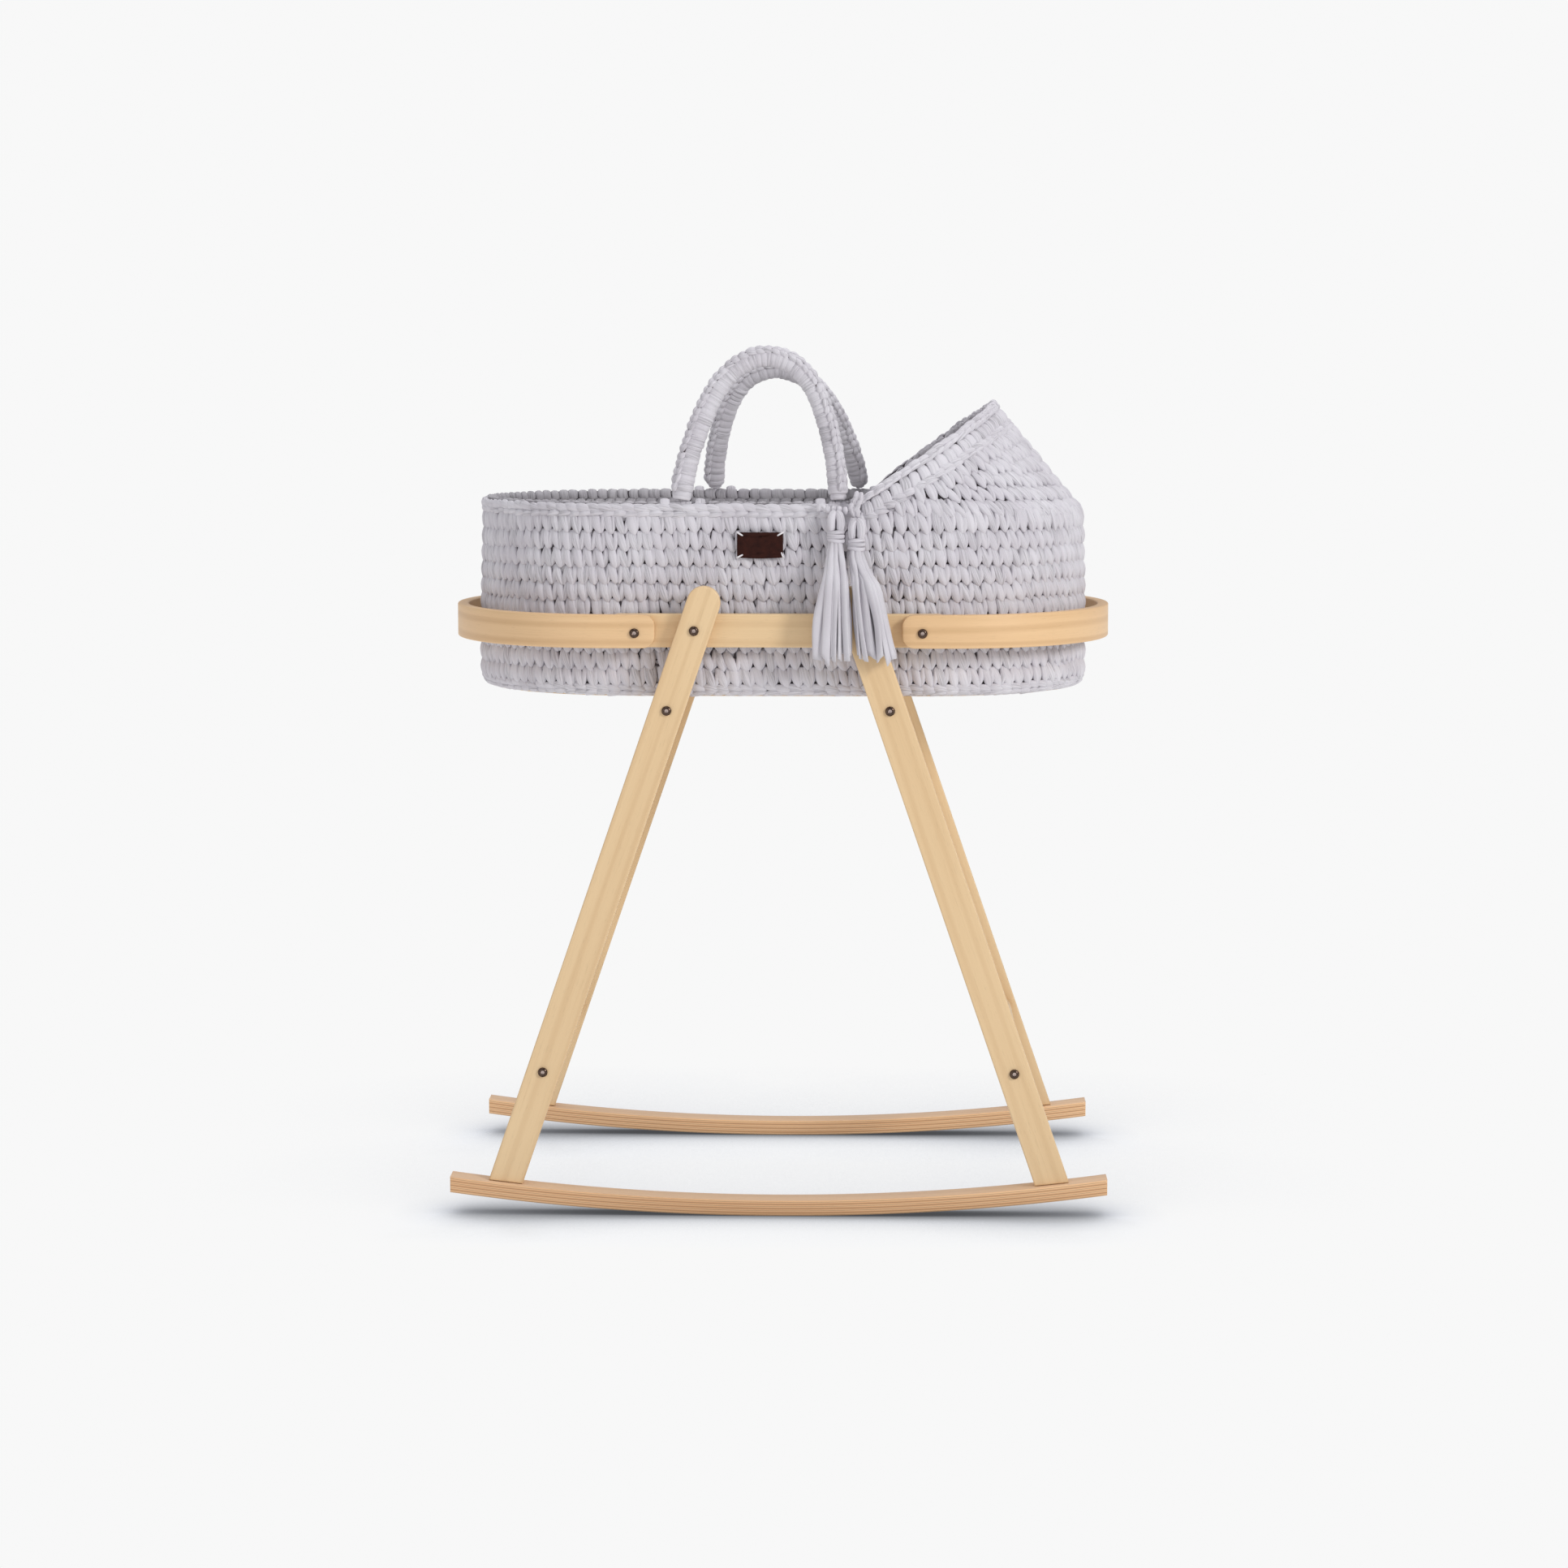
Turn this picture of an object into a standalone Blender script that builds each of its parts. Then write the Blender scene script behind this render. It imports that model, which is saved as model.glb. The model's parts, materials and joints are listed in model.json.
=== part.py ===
"""Bassinet on stand: a crocheted basket with hood, handles, tassels and mattress, held in a wooden hoop on rockers.

Units are metres. +Z is up, +X points to the head (the hooded end) and -Y to the side that the tassels hang on.
The floor is z = 0 and the origin is the centre of the object's footprint.
"""
import math

import bmesh
import bpy
from mathutils import Vector

GAP = 0.0003                   # clearance between pieces that touch
HALF_TURN = math.pi
TURN_STEP = 0.001              # for the slope of a handle's arch, in radians
OVERRUN = 0.010                # how far a cutter runs past the face it cuts
BORE_CUT = 0.040               # a cutter long enough to go through any board
BORE_END = 0.002               # free depth beyond a fastener's end

# Stand, measured about its own middle plane
FRAME_MIDDLE_Y = 0.0105        # the tassels make the near side deeper, so the stand sits behind the origin
LEG_Y = 0.240                  # middle of each leg's thickness, from the middle plane
LEG_WIDTH = 0.040
LEG_THICKNESS = 0.018
LEG_FOOT_X = 0.329
LEG_TOP_X = 0.0887
LEG_TOP_Z = 0.737              # centre of the round top end
LEG_FOOT_Z = 0.039
LEG_LEAN = (LEG_FOOT_X - LEG_TOP_X) / (LEG_TOP_Z - LEG_FOOT_Z)
LEG_STAND_OFF = 2 * GAP        # between the leg's foot and the rocker's curved top

ROCKER_LENGTH = 0.790
ROCKER_DEPTH = 0.036
ROCKER_THICKNESS = 0.019
ROCKER_RADIUS = 2.903          # of the running face
ROCKER_FACETS = 15             # odd, so one flat facet lies on the floor

RAIL_HEIGHT = 0.040
RAIL_Z = 0.703
RAIL_THICKNESS = 0.015
RAIL_LENGTH = 0.404
RAIL_CORNER_R = 0.012
RAIL_OUTER_Y = LEG_Y - LEG_THICKNESS / 2 - GAP
RAIL_INNER_Y = RAIL_OUTER_Y - RAIL_THICKNESS

BOW_THICKNESS = 0.0135
BOW_INNER_Y = RAIL_OUTER_Y + GAP
BOW_OUTER_X = 0.4045
BOW_BEND_X = 0.2045            # where the straight arms end and the bend starts
BOW_BEND_REACH = BOW_OUTER_X - BOW_THICKNESS - BOW_BEND_X
BOW_ARM_END_X = 0.147
BOW_TIP_R = 0.014

CROSSBAR_RADIUS = 0.0125
UPPER_BOLT_Z = 0.609
LOWER_BOLT_Z = 0.1728
RAIL_BOLT_Z = 0.704
BOW_BOLT_X = 0.171
BOW_BOLT_Z = 0.701

BOLT_HEAD_R = 0.006
BOLT_HEAD_H = 0.0035
BOLT_SHANK_R = 0.003
BOLT_CROWN_R = 0.0042
BOLT_SOCKET_R = 0.0026
BOLT_SOCKET_DEPTH = 0.002
BOLT_DOME_H = 0.6 * BOLT_HEAD_H    # where the head starts to round in to its crown
BOLT_SHORT_OF = 0.001          # how far a rail bolt ends before the rail's inner face
INSERT_R = 0.005
INSERT_LENGTH = 0.0147
INSERT_SINK = 0.0001           # how far the insert lies below the rail's inner face
SCREW_HEAD_R = 0.0042
SCREW_HEAD_RIM = 0.0008
SCREW_CONE_END = 0.0034
SCREW_SHANK_R = 0.0021
SCREW_LENGTH = 0.052
SCREW_POINT = 0.006
SCREW_POINT_R = 0.0006
SCREW_PLAY = 0.0001            # on the screw's radius, besides the hole's own clearance
SCREW_SINK = 0.0012            # how far the head sits above the running face
SCREW_HEAD_DEPTH = SCREW_HEAD_R + GAP
CROSSBAR_BOLT_LENGTH = 0.062   # goes straight into the dowel's end grain

# Basket, measured about the stand's middle plane
BASKET_HALF_LENGTH = 0.3765
BASKET_HALF_WIDTH = 0.2065
BASKET_END_X = BASKET_HALF_LENGTH - BASKET_HALF_WIDTH
BASKET_BOTTOM = UPPER_BOLT_Z + CROSSBAR_RADIUS + GAP
WALL_THICKNESS = 0.011
WALL_TOP = 0.838
WALL_TOP_INSET = 0.004
WALL_FOOT_HEIGHT = 0.020       # the rounding at the wall's foot
WALL_FOOT_INSET = 0.010
WALL_RISES = (0, 0.003, 0.008, WALL_FOOT_HEIGHT, 0.080, 0.150)     # where the outer face has edges
WALL_INNER_RISE = 0.110        # and the inner one, between its foot and the top
LIP_INSET = WALL_THICKNESS + 0.002     # of the wall's inner face, where the board lies
RIM_HEIGHT = 0.018
RIM_WIDTH = 0.013
RIM_TOP = WALL_TOP + GAP + RIM_HEIGHT
BOARD_THICKNESS = 0.005

HOOD_CORNER_X = 0.107          # where the hood's opening meets the rim, half way across
HOOD_CORNER_SKEW = 0.009       # the far corner sits this much nearer the head, the near one this much further
HOOD_CORNER_Z = 0.861
HOOD_TOP_X = 0.262
HOOD_TOP_Z = 0.972
HOOD_HALF_WIDTH = 0.200
HOOD_BAND_WIDTH = 0.040
HOOD_BAND_SHARE = 0.72         # the most of a short ruling that the band takes
HOOD_THICKNESS = 0.011
HOOD_INSET_X = 0.45            # how an inset moves the top of the opening, down the hood's slope
HOOD_INSET_Z = 0.75

MATTRESS_HALF_WIDTH = 0.182
MATTRESS_THICKNESS = 0.036
MATTRESS_EDGE_R = 0.010

HANDLE_HALF_SPAN = 0.0925
HANDLE_PINCH = 0.16            # how much the legs of the arch lean in more than an ellipse's
HANDLE_RADIUS = 0.0125
HANDLE_CORE_RADIUS = 0.0075
HANDLE_RIDGE = 0.0030          # how far the chained seam stands out along the arch's outer edge
HANDLE_SIDES = 10
HANDLE_STEPS = 22
HANDLE_Y = 0.1965
HANDLE_HINGE_Z = RIM_TOP + HANDLE_RADIUS + 2 * GAP
HANDLES = {
    "front": {"side": -1, "centre_x": -0.0225, "lean": math.radians(5), "rise": 0.158, "sway": 0.0085},
    "rear": {"side": 1, "centre_x": 0.0005, "lean": math.radians(18), "rise": 0.1475, "sway": -0.0125},
}

TASSELS = {
    "left": {"x": 0.0680, "foot_x": 0.0670, "top_z": 0.8440},
    "right": {"x": 0.0923, "foot_x": 0.1190, "top_z": 0.8345},
}
TASSEL_Y = -0.2235             # middle of the tassel's head
TASSEL_HEAD_R = 0.0105
TASSEL_HEAD_END = 0.022        # below the tassel's top, like the next three
TASSEL_BINDING_END = 0.0365
TASSEL_SKIRT_START = 0.0368
TASSEL_SPREAD_END = 0.0568     # where the strips have fanned out
TASSEL_HEAD_PROFILE = ((0, 0.0090), (0.006, TASSEL_HEAD_R), (0.014, 0.0100), (0.020, 0.0055))
TASSEL_BINDING_R = 0.0112
TASSEL_BINDING_PROFILE = ((0, 0.0092), (0.003, TASSEL_BINDING_R), (0.011, TASSEL_BINDING_R), (0.014, 0.0092))
TASSEL_FOOT_Z = 0.672
TASSEL_FOOT_Y = -0.2680
TASSEL_STEP_Y = -0.2655        # where the strips pass over the top of the leg
TASSEL_STEP_Z = 0.762

TAG_X = (-0.050, 0.005)
TAG_Z = (0.789, 0.819)
TAG_THICKNESS = 0.0018
TAG_Y = -(BASKET_HALF_WIDTH + 0.0020)

TIE_Y = -(BASKET_HALF_WIDTH + 0.0065)
TIE_RADIUS = 0.004
TIE_LINE = ((0.0560, 0.8500), (0.0680, 0.8520), (0.0820, 0.8525), (0.0950, 0.8500), (0.1030, 0.8440))

COLOURS = {
    "birch": ((0.70, 0.50, 0.29), 0.45, 0.0),
    "birch_ply": ((0.60, 0.38, 0.20), 0.5, 0.0),
    "yarn": ((0.51, 0.48, 0.51), 0.9, 0.0),
    "leather": ((0.035, 0.010, 0.008), 0.55, 0.0),
    "bronze": ((0.25, 0.14, 0.09), 0.35, 1.0),
    "zinc": ((0.60, 0.58, 0.52), 0.4, 1.0),
    "cotton": ((0.80, 0.79, 0.76), 0.9, 0.0),
    "cord": ((0.66, 0.62, 0.55), 0.9, 0.0),
}


# ---------------------------------------------------------------- helpers

def clear_scene():
    for old in list(bpy.data.objects):
        bpy.data.objects.remove(old, do_unlink=True)


def material(name, family):
    colour, roughness, metallic = COLOURS[family]
    made = bpy.data.materials.new(name)
    made.use_nodes = True
    shader = made.node_tree.nodes["Principled BSDF"]
    shader.inputs["Base Color"].default_value = (*colour, 1.0)
    shader.inputs["Roughness"].default_value = roughness
    shader.inputs["Metallic"].default_value = metallic
    return made


def empty(name, location, parent=None):
    made = bpy.data.objects.new(name, None)
    bpy.context.collection.objects.link(made)
    made.parent = parent
    made.location = location
    return made


def add(name, family, bm, parent, smooth=40):
    """One node: the bmesh becomes an object with its own material, under its body's empty."""
    bmesh.ops.remove_doubles(bm, verts=bm.verts, dist=1e-6)
    bmesh.ops.recalc_face_normals(bm, faces=bm.faces)
    mesh = bpy.data.meshes.new(name)
    bm.to_mesh(mesh)
    bm.free()
    mesh.shade_smooth()
    mesh.set_sharp_from_angle(angle=math.radians(smooth))
    mesh.materials.append(material(name, family))
    made = bpy.data.objects.new(name, mesh)
    bpy.context.collection.objects.link(made)
    made.parent = parent
    made.location = -world_offset(parent)
    return made


def world_offset(parent):
    """Where an empty stands, measured from the stand's middle plane."""
    total = Vector((0, 0, 0))
    while parent is not None and parent.name != "bassinet":
        total += parent.location
        parent = parent.parent
    return total


def loft(bm, loops, closed=False):
    """Skin rings of equal length with quads; closed joins the last ring to the first."""
    rings = [[bm.verts.new(p) for p in loop] for loop in loops]
    count = len(rings[0])
    pairs = list(zip(rings, rings[1:]))
    if closed:
        pairs.append((rings[-1], rings[0]))
    for low, high in pairs:
        for i in range(count):
            j = (i + 1) % count
            bm.faces.new((low[i], low[j], high[j], high[i]))
    if not closed:
        bm.faces.new(list(reversed(rings[0])))
        bm.faces.new(rings[-1])


def prism(bm, outline, offset):
    """Extrude a flat outline by the offset vector."""
    loft(bm, [outline, [Vector(p) + Vector(offset) for p in outline]])


def ring_points(centre, u, v, radius_u, radius_v, count):
    turn = 2 * HALF_TURN / count
    return [Vector(centre) + u * (radius_u * math.cos(turn * i)) + v * (radius_v * math.sin(turn * i))
            for i in range(count)]


def turned(bm, base, axis, profile, count):
    """Turn (height, radius) points about the axis through base; flat end caps."""
    axis = Vector(axis).normalized()
    u = axis.orthogonal().normalized()
    v = axis.cross(u)
    loft(bm, [ring_points(Vector(base) + axis * h, u, v, r, r, count) for h, r in profile])


def bore(base, axis, length, radius):
    """A plain round cutter, as a turned shape."""
    return base, axis, ((0, radius), (length, radius))


def cut(target, cutters):
    """Boolean the turned shapes in one cutter object out of the target. The shapes don't cross each other."""
    bm = bmesh.new()
    for base, axis, profile in cutters:
        turned(bm, base, axis, profile, 12)
    mesh = bpy.data.meshes.new(target.name + "_cutter")
    bmesh.ops.recalc_face_normals(bm, faces=bm.faces)
    bm.to_mesh(mesh)
    bm.free()
    guide = bpy.data.objects.new(target.name + "_cutter", mesh)
    bpy.context.collection.objects.link(guide)
    guide.parent = target.parent
    guide.location = target.location
    guide.hide_render = True
    guide.display_type = "WIRE"
    holes = target.modifiers.new("holes", "BOOLEAN")
    holes.operation = "DIFFERENCE"
    holes.solver = "EXACT"
    holes.object = guide


# ---------------------------------------------------------------- stand

def rocker_point(angle, radius):
    """A point of the rocker's curve; the centre of the curve stands ROCKER_RADIUS above the floor."""
    return radius * math.sin(angle), ROCKER_RADIUS - radius * math.cos(angle)


def rocker(name, side, parent):
    half = math.asin(ROCKER_LENGTH / 2 / ROCKER_RADIUS)
    facet_rise = ROCKER_RADIUS * (1 - math.cos(half / ROCKER_FACETS))
    low, high = [], []
    for i in range(ROCKER_FACETS + 1):
        angle = half * (2 * i / ROCKER_FACETS - 1)
        x, z = rocker_point(angle, ROCKER_RADIUS)
        low.append((x, z - facet_rise))
        x_top = max(-ROCKER_LENGTH / 2, min(ROCKER_LENGTH / 2, x))
        top_angle = math.asin(x_top / (ROCKER_RADIUS - ROCKER_THICKNESS))
        high.append((x_top, rocker_point(top_angle, ROCKER_RADIUS - ROCKER_THICKNESS)[1] - facet_rise))
    y = side * LEG_Y
    outline = [Vector((x, y - ROCKER_DEPTH / 2, z)) for x, z in low + high[::-1]]
    bm = bmesh.new()
    # The outline's long faces are built as quads, so the skin has no long slivers.
    back = [p + Vector((0, ROCKER_DEPTH, 0)) for p in outline]
    front_verts = [bm.verts.new(p) for p in outline]
    back_verts = [bm.verts.new(p) for p in back]
    count = len(outline)
    for i in range(count):
        j = (i + 1) % count
        bm.faces.new((front_verts[i], front_verts[j], back_verts[j], back_verts[i]))
    for i in range(ROCKER_FACETS):
        a, b, c, d = i, i + 1, count - 2 - i, count - 1 - i
        bm.faces.new((front_verts[a], front_verts[d], front_verts[c], front_verts[b]))
        bm.faces.new((back_verts[a], back_verts[b], back_verts[c], back_verts[d]))
    made = add(name, "birch_ply", bm, parent)
    head, shank = SCREW_HEAD_R + GAP, SCREW_SHANK_R + GAP
    profile = ((-OVERRUN, head), (SCREW_HEAD_DEPTH, head), (SCREW_HEAD_DEPTH, shank), (BORE_CUT, shank))
    cut(made, [(*screw_line(end, side), profile) for end in (-1, 1)])


def leg_x(z):
    """Middle of the leg at height z, on the head side."""
    return LEG_TOP_X + (LEG_TOP_Z - z) * LEG_LEAN


def leg_direction(end):
    """Unit vector up a leg; end is 1 for the head side and -1 for the foot side."""
    return Vector((-end * LEG_LEAN, 0, 1)).normalized()


def foot_frame(end):
    """Where the leg's middle line meets the rocker's top, with the rocker's upward normal there."""
    angle = math.asin(LEG_FOOT_X / (ROCKER_RADIUS - ROCKER_THICKNESS))
    x, z = rocker_point(angle, ROCKER_RADIUS - ROCKER_THICKNESS)
    normal = Vector((-end * math.sin(angle), 0, math.cos(angle)))
    return Vector((end * x, 0, z)), normal


def screw_line(end, side):
    """A screw up through the rocker into the leg: the lower face of its head, and its direction."""
    foot, normal = foot_frame(end)
    up = leg_direction(end)
    depth = (ROCKER_THICKNESS - SCREW_SINK) / up.dot(normal)
    return foot + Vector((0, side * LEG_Y, 0)) - up * depth, up


def leg(name, end, side, parent):
    """A board with a round top end, cut at the foot to stand on the rocker."""
    up = leg_direction(end)
    across = Vector((up.z, 0, -up.x)) * end
    foot, normal = foot_frame(end)
    outline = []
    for edge in (1, -1):
        start = foot + across * (edge * LEG_WIDTH / 2)
        rise = (LEG_STAND_OFF - (start - foot).dot(normal)) / up.dot(normal)
        outline.append(start + up * rise)
    top = Vector((end * LEG_TOP_X, 0, LEG_TOP_Z))
    arc_steps = 12
    for i in range(arc_steps + 1):
        turn = HALF_TURN * i / arc_steps
        outline.append(top - across * (LEG_WIDTH / 2 * math.cos(turn)) + up * (LEG_WIDTH / 2 * math.sin(turn)))
    y = side * LEG_Y - LEG_THICKNESS / 2
    bm = bmesh.new()
    prism(bm, [p + Vector((0, y, 0)) for p in outline], (0, LEG_THICKNESS, 0))
    made = add(name, "birch", bm, parent)
    cutters = [bore(Vector((end * leg_x(z), y - OVERRUN, z)), Vector((0, 1, 0)), BORE_CUT, BOLT_SHANK_R + GAP)
               for z in (LOWER_BOLT_Z, UPPER_BOLT_Z, RAIL_BOLT_Z)]
    cutters.append(bore(*screw_line(end, side), SCREW_LENGTH + BORE_END, SCREW_SHANK_R + GAP))
    cut(made, cutters)


def rail(name, side, parent):
    """A straight board behind the legs and the bows' arms, with its insert holes."""
    inner = side * RAIL_INNER_Y
    outer = side * RAIL_OUTER_Y
    low, high = RAIL_Z - RAIL_HEIGHT / 2, RAIL_Z + RAIL_HEIGHT / 2
    radius = RAIL_CORNER_R
    outline = []
    corners = ((1, low, -90), (1, high, 0), (-1, high, 90), (-1, low, 180))
    for sign, z, start in corners:
        centre = Vector((sign * (RAIL_LENGTH / 2 - radius), inner, z + (radius if z == low else -radius)))
        for i in range(4):
            turn = math.radians(start + 30 * i)
            outline.append(centre + Vector((math.cos(turn), 0, math.sin(turn))) * radius)
    bm = bmesh.new()
    prism(bm, outline, (0, outer - inner, 0))
    made = add(name, "birch", bm, parent)
    away = Vector((0, side, 0))
    places = [(s * leg_x(RAIL_BOLT_Z), RAIL_BOLT_Z) for s in (-1, 1)]
    places += [(s * BOW_BOLT_X, BOW_BOLT_Z) for s in (-1, 1)]
    cut(made, [bore(Vector((x, inner, z)) - away * OVERRUN, away, BORE_CUT, INSERT_R + GAP) for x, z in places])


def bow(name, end, parent):
    """A bent board round the basket's end: two straight arms with round tips, joined by half an ellipse."""
    low, high = RAIL_Z - RAIL_HEIGHT / 2, RAIL_Z + RAIL_HEIGHT / 2
    tip_steps = 4
    bend_steps = 26
    arm = []
    for i in range(tip_steps + 1):
        turn = HALF_TURN / 2 * i / tip_steps
        arm.append((BOW_ARM_END_X + BOW_TIP_R * (1 - math.cos(turn)), BOW_TIP_R * (1 - math.sin(turn))))
    stations = [(Vector((x, -BOW_INNER_Y, 0)), Vector((0, -1, 0)), inset) for x, inset in arm]
    for i in range(bend_steps + 1):
        turn = HALF_TURN * i / bend_steps
        inner = Vector((BOW_BEND_X + BOW_BEND_REACH * math.sin(turn), -BOW_INNER_Y * math.cos(turn), 0))
        normal = Vector((BOW_INNER_Y * math.sin(turn), -BOW_BEND_REACH * math.cos(turn), 0)).normalized()
        stations.append((inner, normal, 0.0))
    stations += [(Vector((x, BOW_INNER_Y, 0)), Vector((0, 1, 0)), inset) for x, inset in reversed(arm)]
    loops = []
    for inner, normal, inset in stations:
        outer = inner + normal * BOW_THICKNESS
        loops.append([Vector((end * p.x, p.y, z)) for p, z in
                      ((inner, low + inset), (outer, low + inset), (outer, high - inset), (inner, high - inset))])
    bm = bmesh.new()
    loft(bm, loops)
    made = add(name, "birch", bm, parent)
    cut(made, [bore(Vector((end * BOW_BOLT_X, side * (BOW_INNER_Y - OVERRUN), BOW_BOLT_Z)), Vector((0, side, 0)),
                    BORE_CUT, BOLT_SHANK_R + GAP) for side in (-1, 1)])


def crossbar(name, x, z, parent):
    """A dowel between the near and far legs, bored at both ends for its bolts."""
    half = LEG_Y - LEG_THICKNESS / 2 - GAP
    bm = bmesh.new()
    turned(bm, (x, -half, z), (0, 1, 0), ((0, CROSSBAR_RADIUS), (2 * half, CROSSBAR_RADIUS)), 24)
    made = add(name, "birch", bm, parent)
    depth = CROSSBAR_BOLT_LENGTH - LEG_THICKNESS + BORE_END
    cut(made, [bore(Vector((x, side * (half + OVERRUN), z)), Vector((0, -side, 0)), OVERRUN + depth,
                    BOLT_SHANK_R + GAP) for side in (-1, 1)])


def bolt(name, face, axis, length, parent):
    """A pan head with a hexagonal socket on the face, and a shank going in along the axis."""
    axis = Vector(axis)
    u = axis.orthogonal().normalized()
    v = axis.cross(u)
    count = 12

    def circle(height, radius):
        return ring_points(face - axis * height, u, v, radius, radius, count)

    def hexagon(height):
        points = []
        for i in range(count):
            reach = BOLT_SOCKET_R if i % 2 == 0 else BOLT_SOCKET_R * math.cos(HALF_TURN / 6)
            turn = 2 * HALF_TURN * i / count
            points.append(face - axis * height + (u * math.cos(turn) + v * math.sin(turn)) * reach)
        return points

    bm = bmesh.new()
    loft(bm, [hexagon(BOLT_HEAD_H - BOLT_SOCKET_DEPTH), hexagon(BOLT_HEAD_H),
              circle(BOLT_HEAD_H, BOLT_CROWN_R), circle(BOLT_DOME_H, BOLT_HEAD_R),
              circle(0, BOLT_HEAD_R), circle(0, BOLT_SHANK_R), circle(-length, BOLT_SHANK_R)])
    add(name, "bronze", bm, parent)


def insert(name, face, axis, parent):
    """A threaded sleeve, flush with the face and lying along the axis."""
    axis = Vector(axis)
    u = axis.orthogonal().normalized()
    v = axis.cross(u)
    bore = BOLT_SHANK_R + GAP
    bm = bmesh.new()
    loft(bm, [ring_points(face + axis * h, u, v, r, r, 10)
              for h, r in ((0, bore), (0, INSERT_R), (INSERT_LENGTH, INSERT_R), (INSERT_LENGTH, bore))],
         closed=True)
    add(name, "zinc", bm, parent)


def screw(name, base, up, parent):
    """A countersunk screw standing in the rocker, its head sunk below the running face."""
    shank, head = SCREW_SHANK_R - SCREW_PLAY, SCREW_HEAD_R - SCREW_PLAY
    bm = bmesh.new()
    turned(bm, base, up, ((0, head), (SCREW_HEAD_RIM, head), (SCREW_CONE_END, shank),
                          (SCREW_LENGTH - SCREW_POINT, shank), (SCREW_LENGTH, SCREW_POINT_R)), 10)
    add(name, "zinc", bm, parent)


def stand_fasteners(label, side, hand, end, parent):
    """Everything that fastens one corner of the stand: four bolts, two inserts and a screw."""
    leg_face = LEG_Y + LEG_THICKNESS / 2 + GAP
    bow_face = BOW_INNER_Y + BOW_THICKNESS + GAP
    through_rail = RAIL_INNER_Y + BOLT_SHORT_OF
    rail_x = leg_x(RAIL_BOLT_Z)
    corner = f"{label}_{hand}"
    bolts = (
        ("leg_rail_bolt", rail_x, RAIL_BOLT_Z, leg_face, leg_face - through_rail),
        ("bow_bolt", BOW_BOLT_X, BOW_BOLT_Z, bow_face, bow_face - through_rail),
        ("upper_crossbar_bolt", leg_x(UPPER_BOLT_Z), UPPER_BOLT_Z, leg_face, CROSSBAR_BOLT_LENGTH),
        ("lower_crossbar_bolt", leg_x(LOWER_BOLT_Z), LOWER_BOLT_Z, leg_face, CROSSBAR_BOLT_LENGTH),
    )
    for name, x, z, face, length in bolts:
        bolt(f"{name}_{corner}", Vector((end * x, side * face, z)), (0, -side, 0), length, parent)
    for name, x, z in (("leg_rail_insert", rail_x, RAIL_BOLT_Z), ("bow_insert", BOW_BOLT_X, BOW_BOLT_Z)):
        flush = Vector((end * x, side * (RAIL_INNER_Y + INSERT_SINK), z))
        insert(f"{name}_{corner}", flush, (0, side, 0), parent)
    base, up = screw_line(end, side)
    screw(f"rocker_screw_{corner}", base, up, parent)


def build_stand(parent):
    for label, side in (("front", -1), ("rear", 1)):
        rocker(f"rocker_{label}", side, parent)
        rail(f"rail_{label}", side, parent)
        for hand, end in (("left", -1), ("right", 1)):
            leg(f"leg_{label}_{hand}", end, side, parent)
            stand_fasteners(label, side, hand, end, parent)
    for hand, end in (("left", -1), ("right", 1)):
        crossbar(f"crossbar_upper_{hand}", end * leg_x(UPPER_BOLT_Z), UPPER_BOLT_Z, parent)
        crossbar(f"crossbar_lower_{hand}", end * leg_x(LOWER_BOLT_Z), LOWER_BOLT_Z, parent)
    bow("bow_foot", -1, parent)
    bow("bow_head", 1, parent)


# ---------------------------------------------------------------- basket

def stadium(inset, z, arc_steps=12, side_steps=6):
    """Closed plan outline of the basket, inset from its widest line: half circles and straight sides."""
    radius = BASKET_HALF_WIDTH - inset
    points = []
    for end in (1, -1):
        for i in range(arc_steps + 1):
            turn = HALF_TURN * (i / arc_steps - 0.5) + (0 if end == 1 else HALF_TURN)
            points.append(Vector((end * BASKET_END_X + radius * math.cos(turn), radius * math.sin(turn), z)))
        for i in range(1, side_steps):
            x = end * BASKET_END_X * (1 - 2 * i / side_steps)
            points.append(Vector((x, end * radius, z)))
    return points


def outer_inset(z):
    """How far the wall stands in from its widest line: round at the foot, drawn in a little at the top."""
    rise = z - BASKET_BOTTOM
    if rise < WALL_FOOT_HEIGHT:
        return WALL_FOOT_INSET * (1 - math.sqrt(1 - (1 - rise / WALL_FOOT_HEIGHT) ** 2))
    return WALL_TOP_INSET * ((rise - WALL_FOOT_HEIGHT) / (WALL_TOP - BASKET_BOTTOM - WALL_FOOT_HEIGHT)) ** 2


def basket_wall(parent):
    heights = [BASKET_BOTTOM + rise for rise in WALL_RISES] + [WALL_TOP]
    loops = [stadium(outer_inset(z), z) for z in heights]
    for z in (WALL_TOP, BASKET_BOTTOM + WALL_INNER_RISE, BASKET_BOTTOM + WALL_FOOT_HEIGHT):
        loops.append(stadium(outer_inset(z) + WALL_THICKNESS, z))
    loops.append(stadium(LIP_INSET, BASKET_BOTTOM))
    bm = bmesh.new()
    loft(bm, loops, closed=True)
    add("basket_wall", "yarn", bm, parent)


def base_board(parent):
    """The stiff board that the wall is worked around; it rests on the upper crossbars."""
    bm = bmesh.new()
    prism(bm, stadium(LIP_INSET + GAP, BASKET_BOTTOM), (0, 0, BOARD_THICKNESS))
    add("base_board", "birch_ply", bm, parent)


def hood_corner_x(y):
    return HOOD_CORNER_X + HOOD_CORNER_SKEW * y / HOOD_HALF_WIDTH


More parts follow.
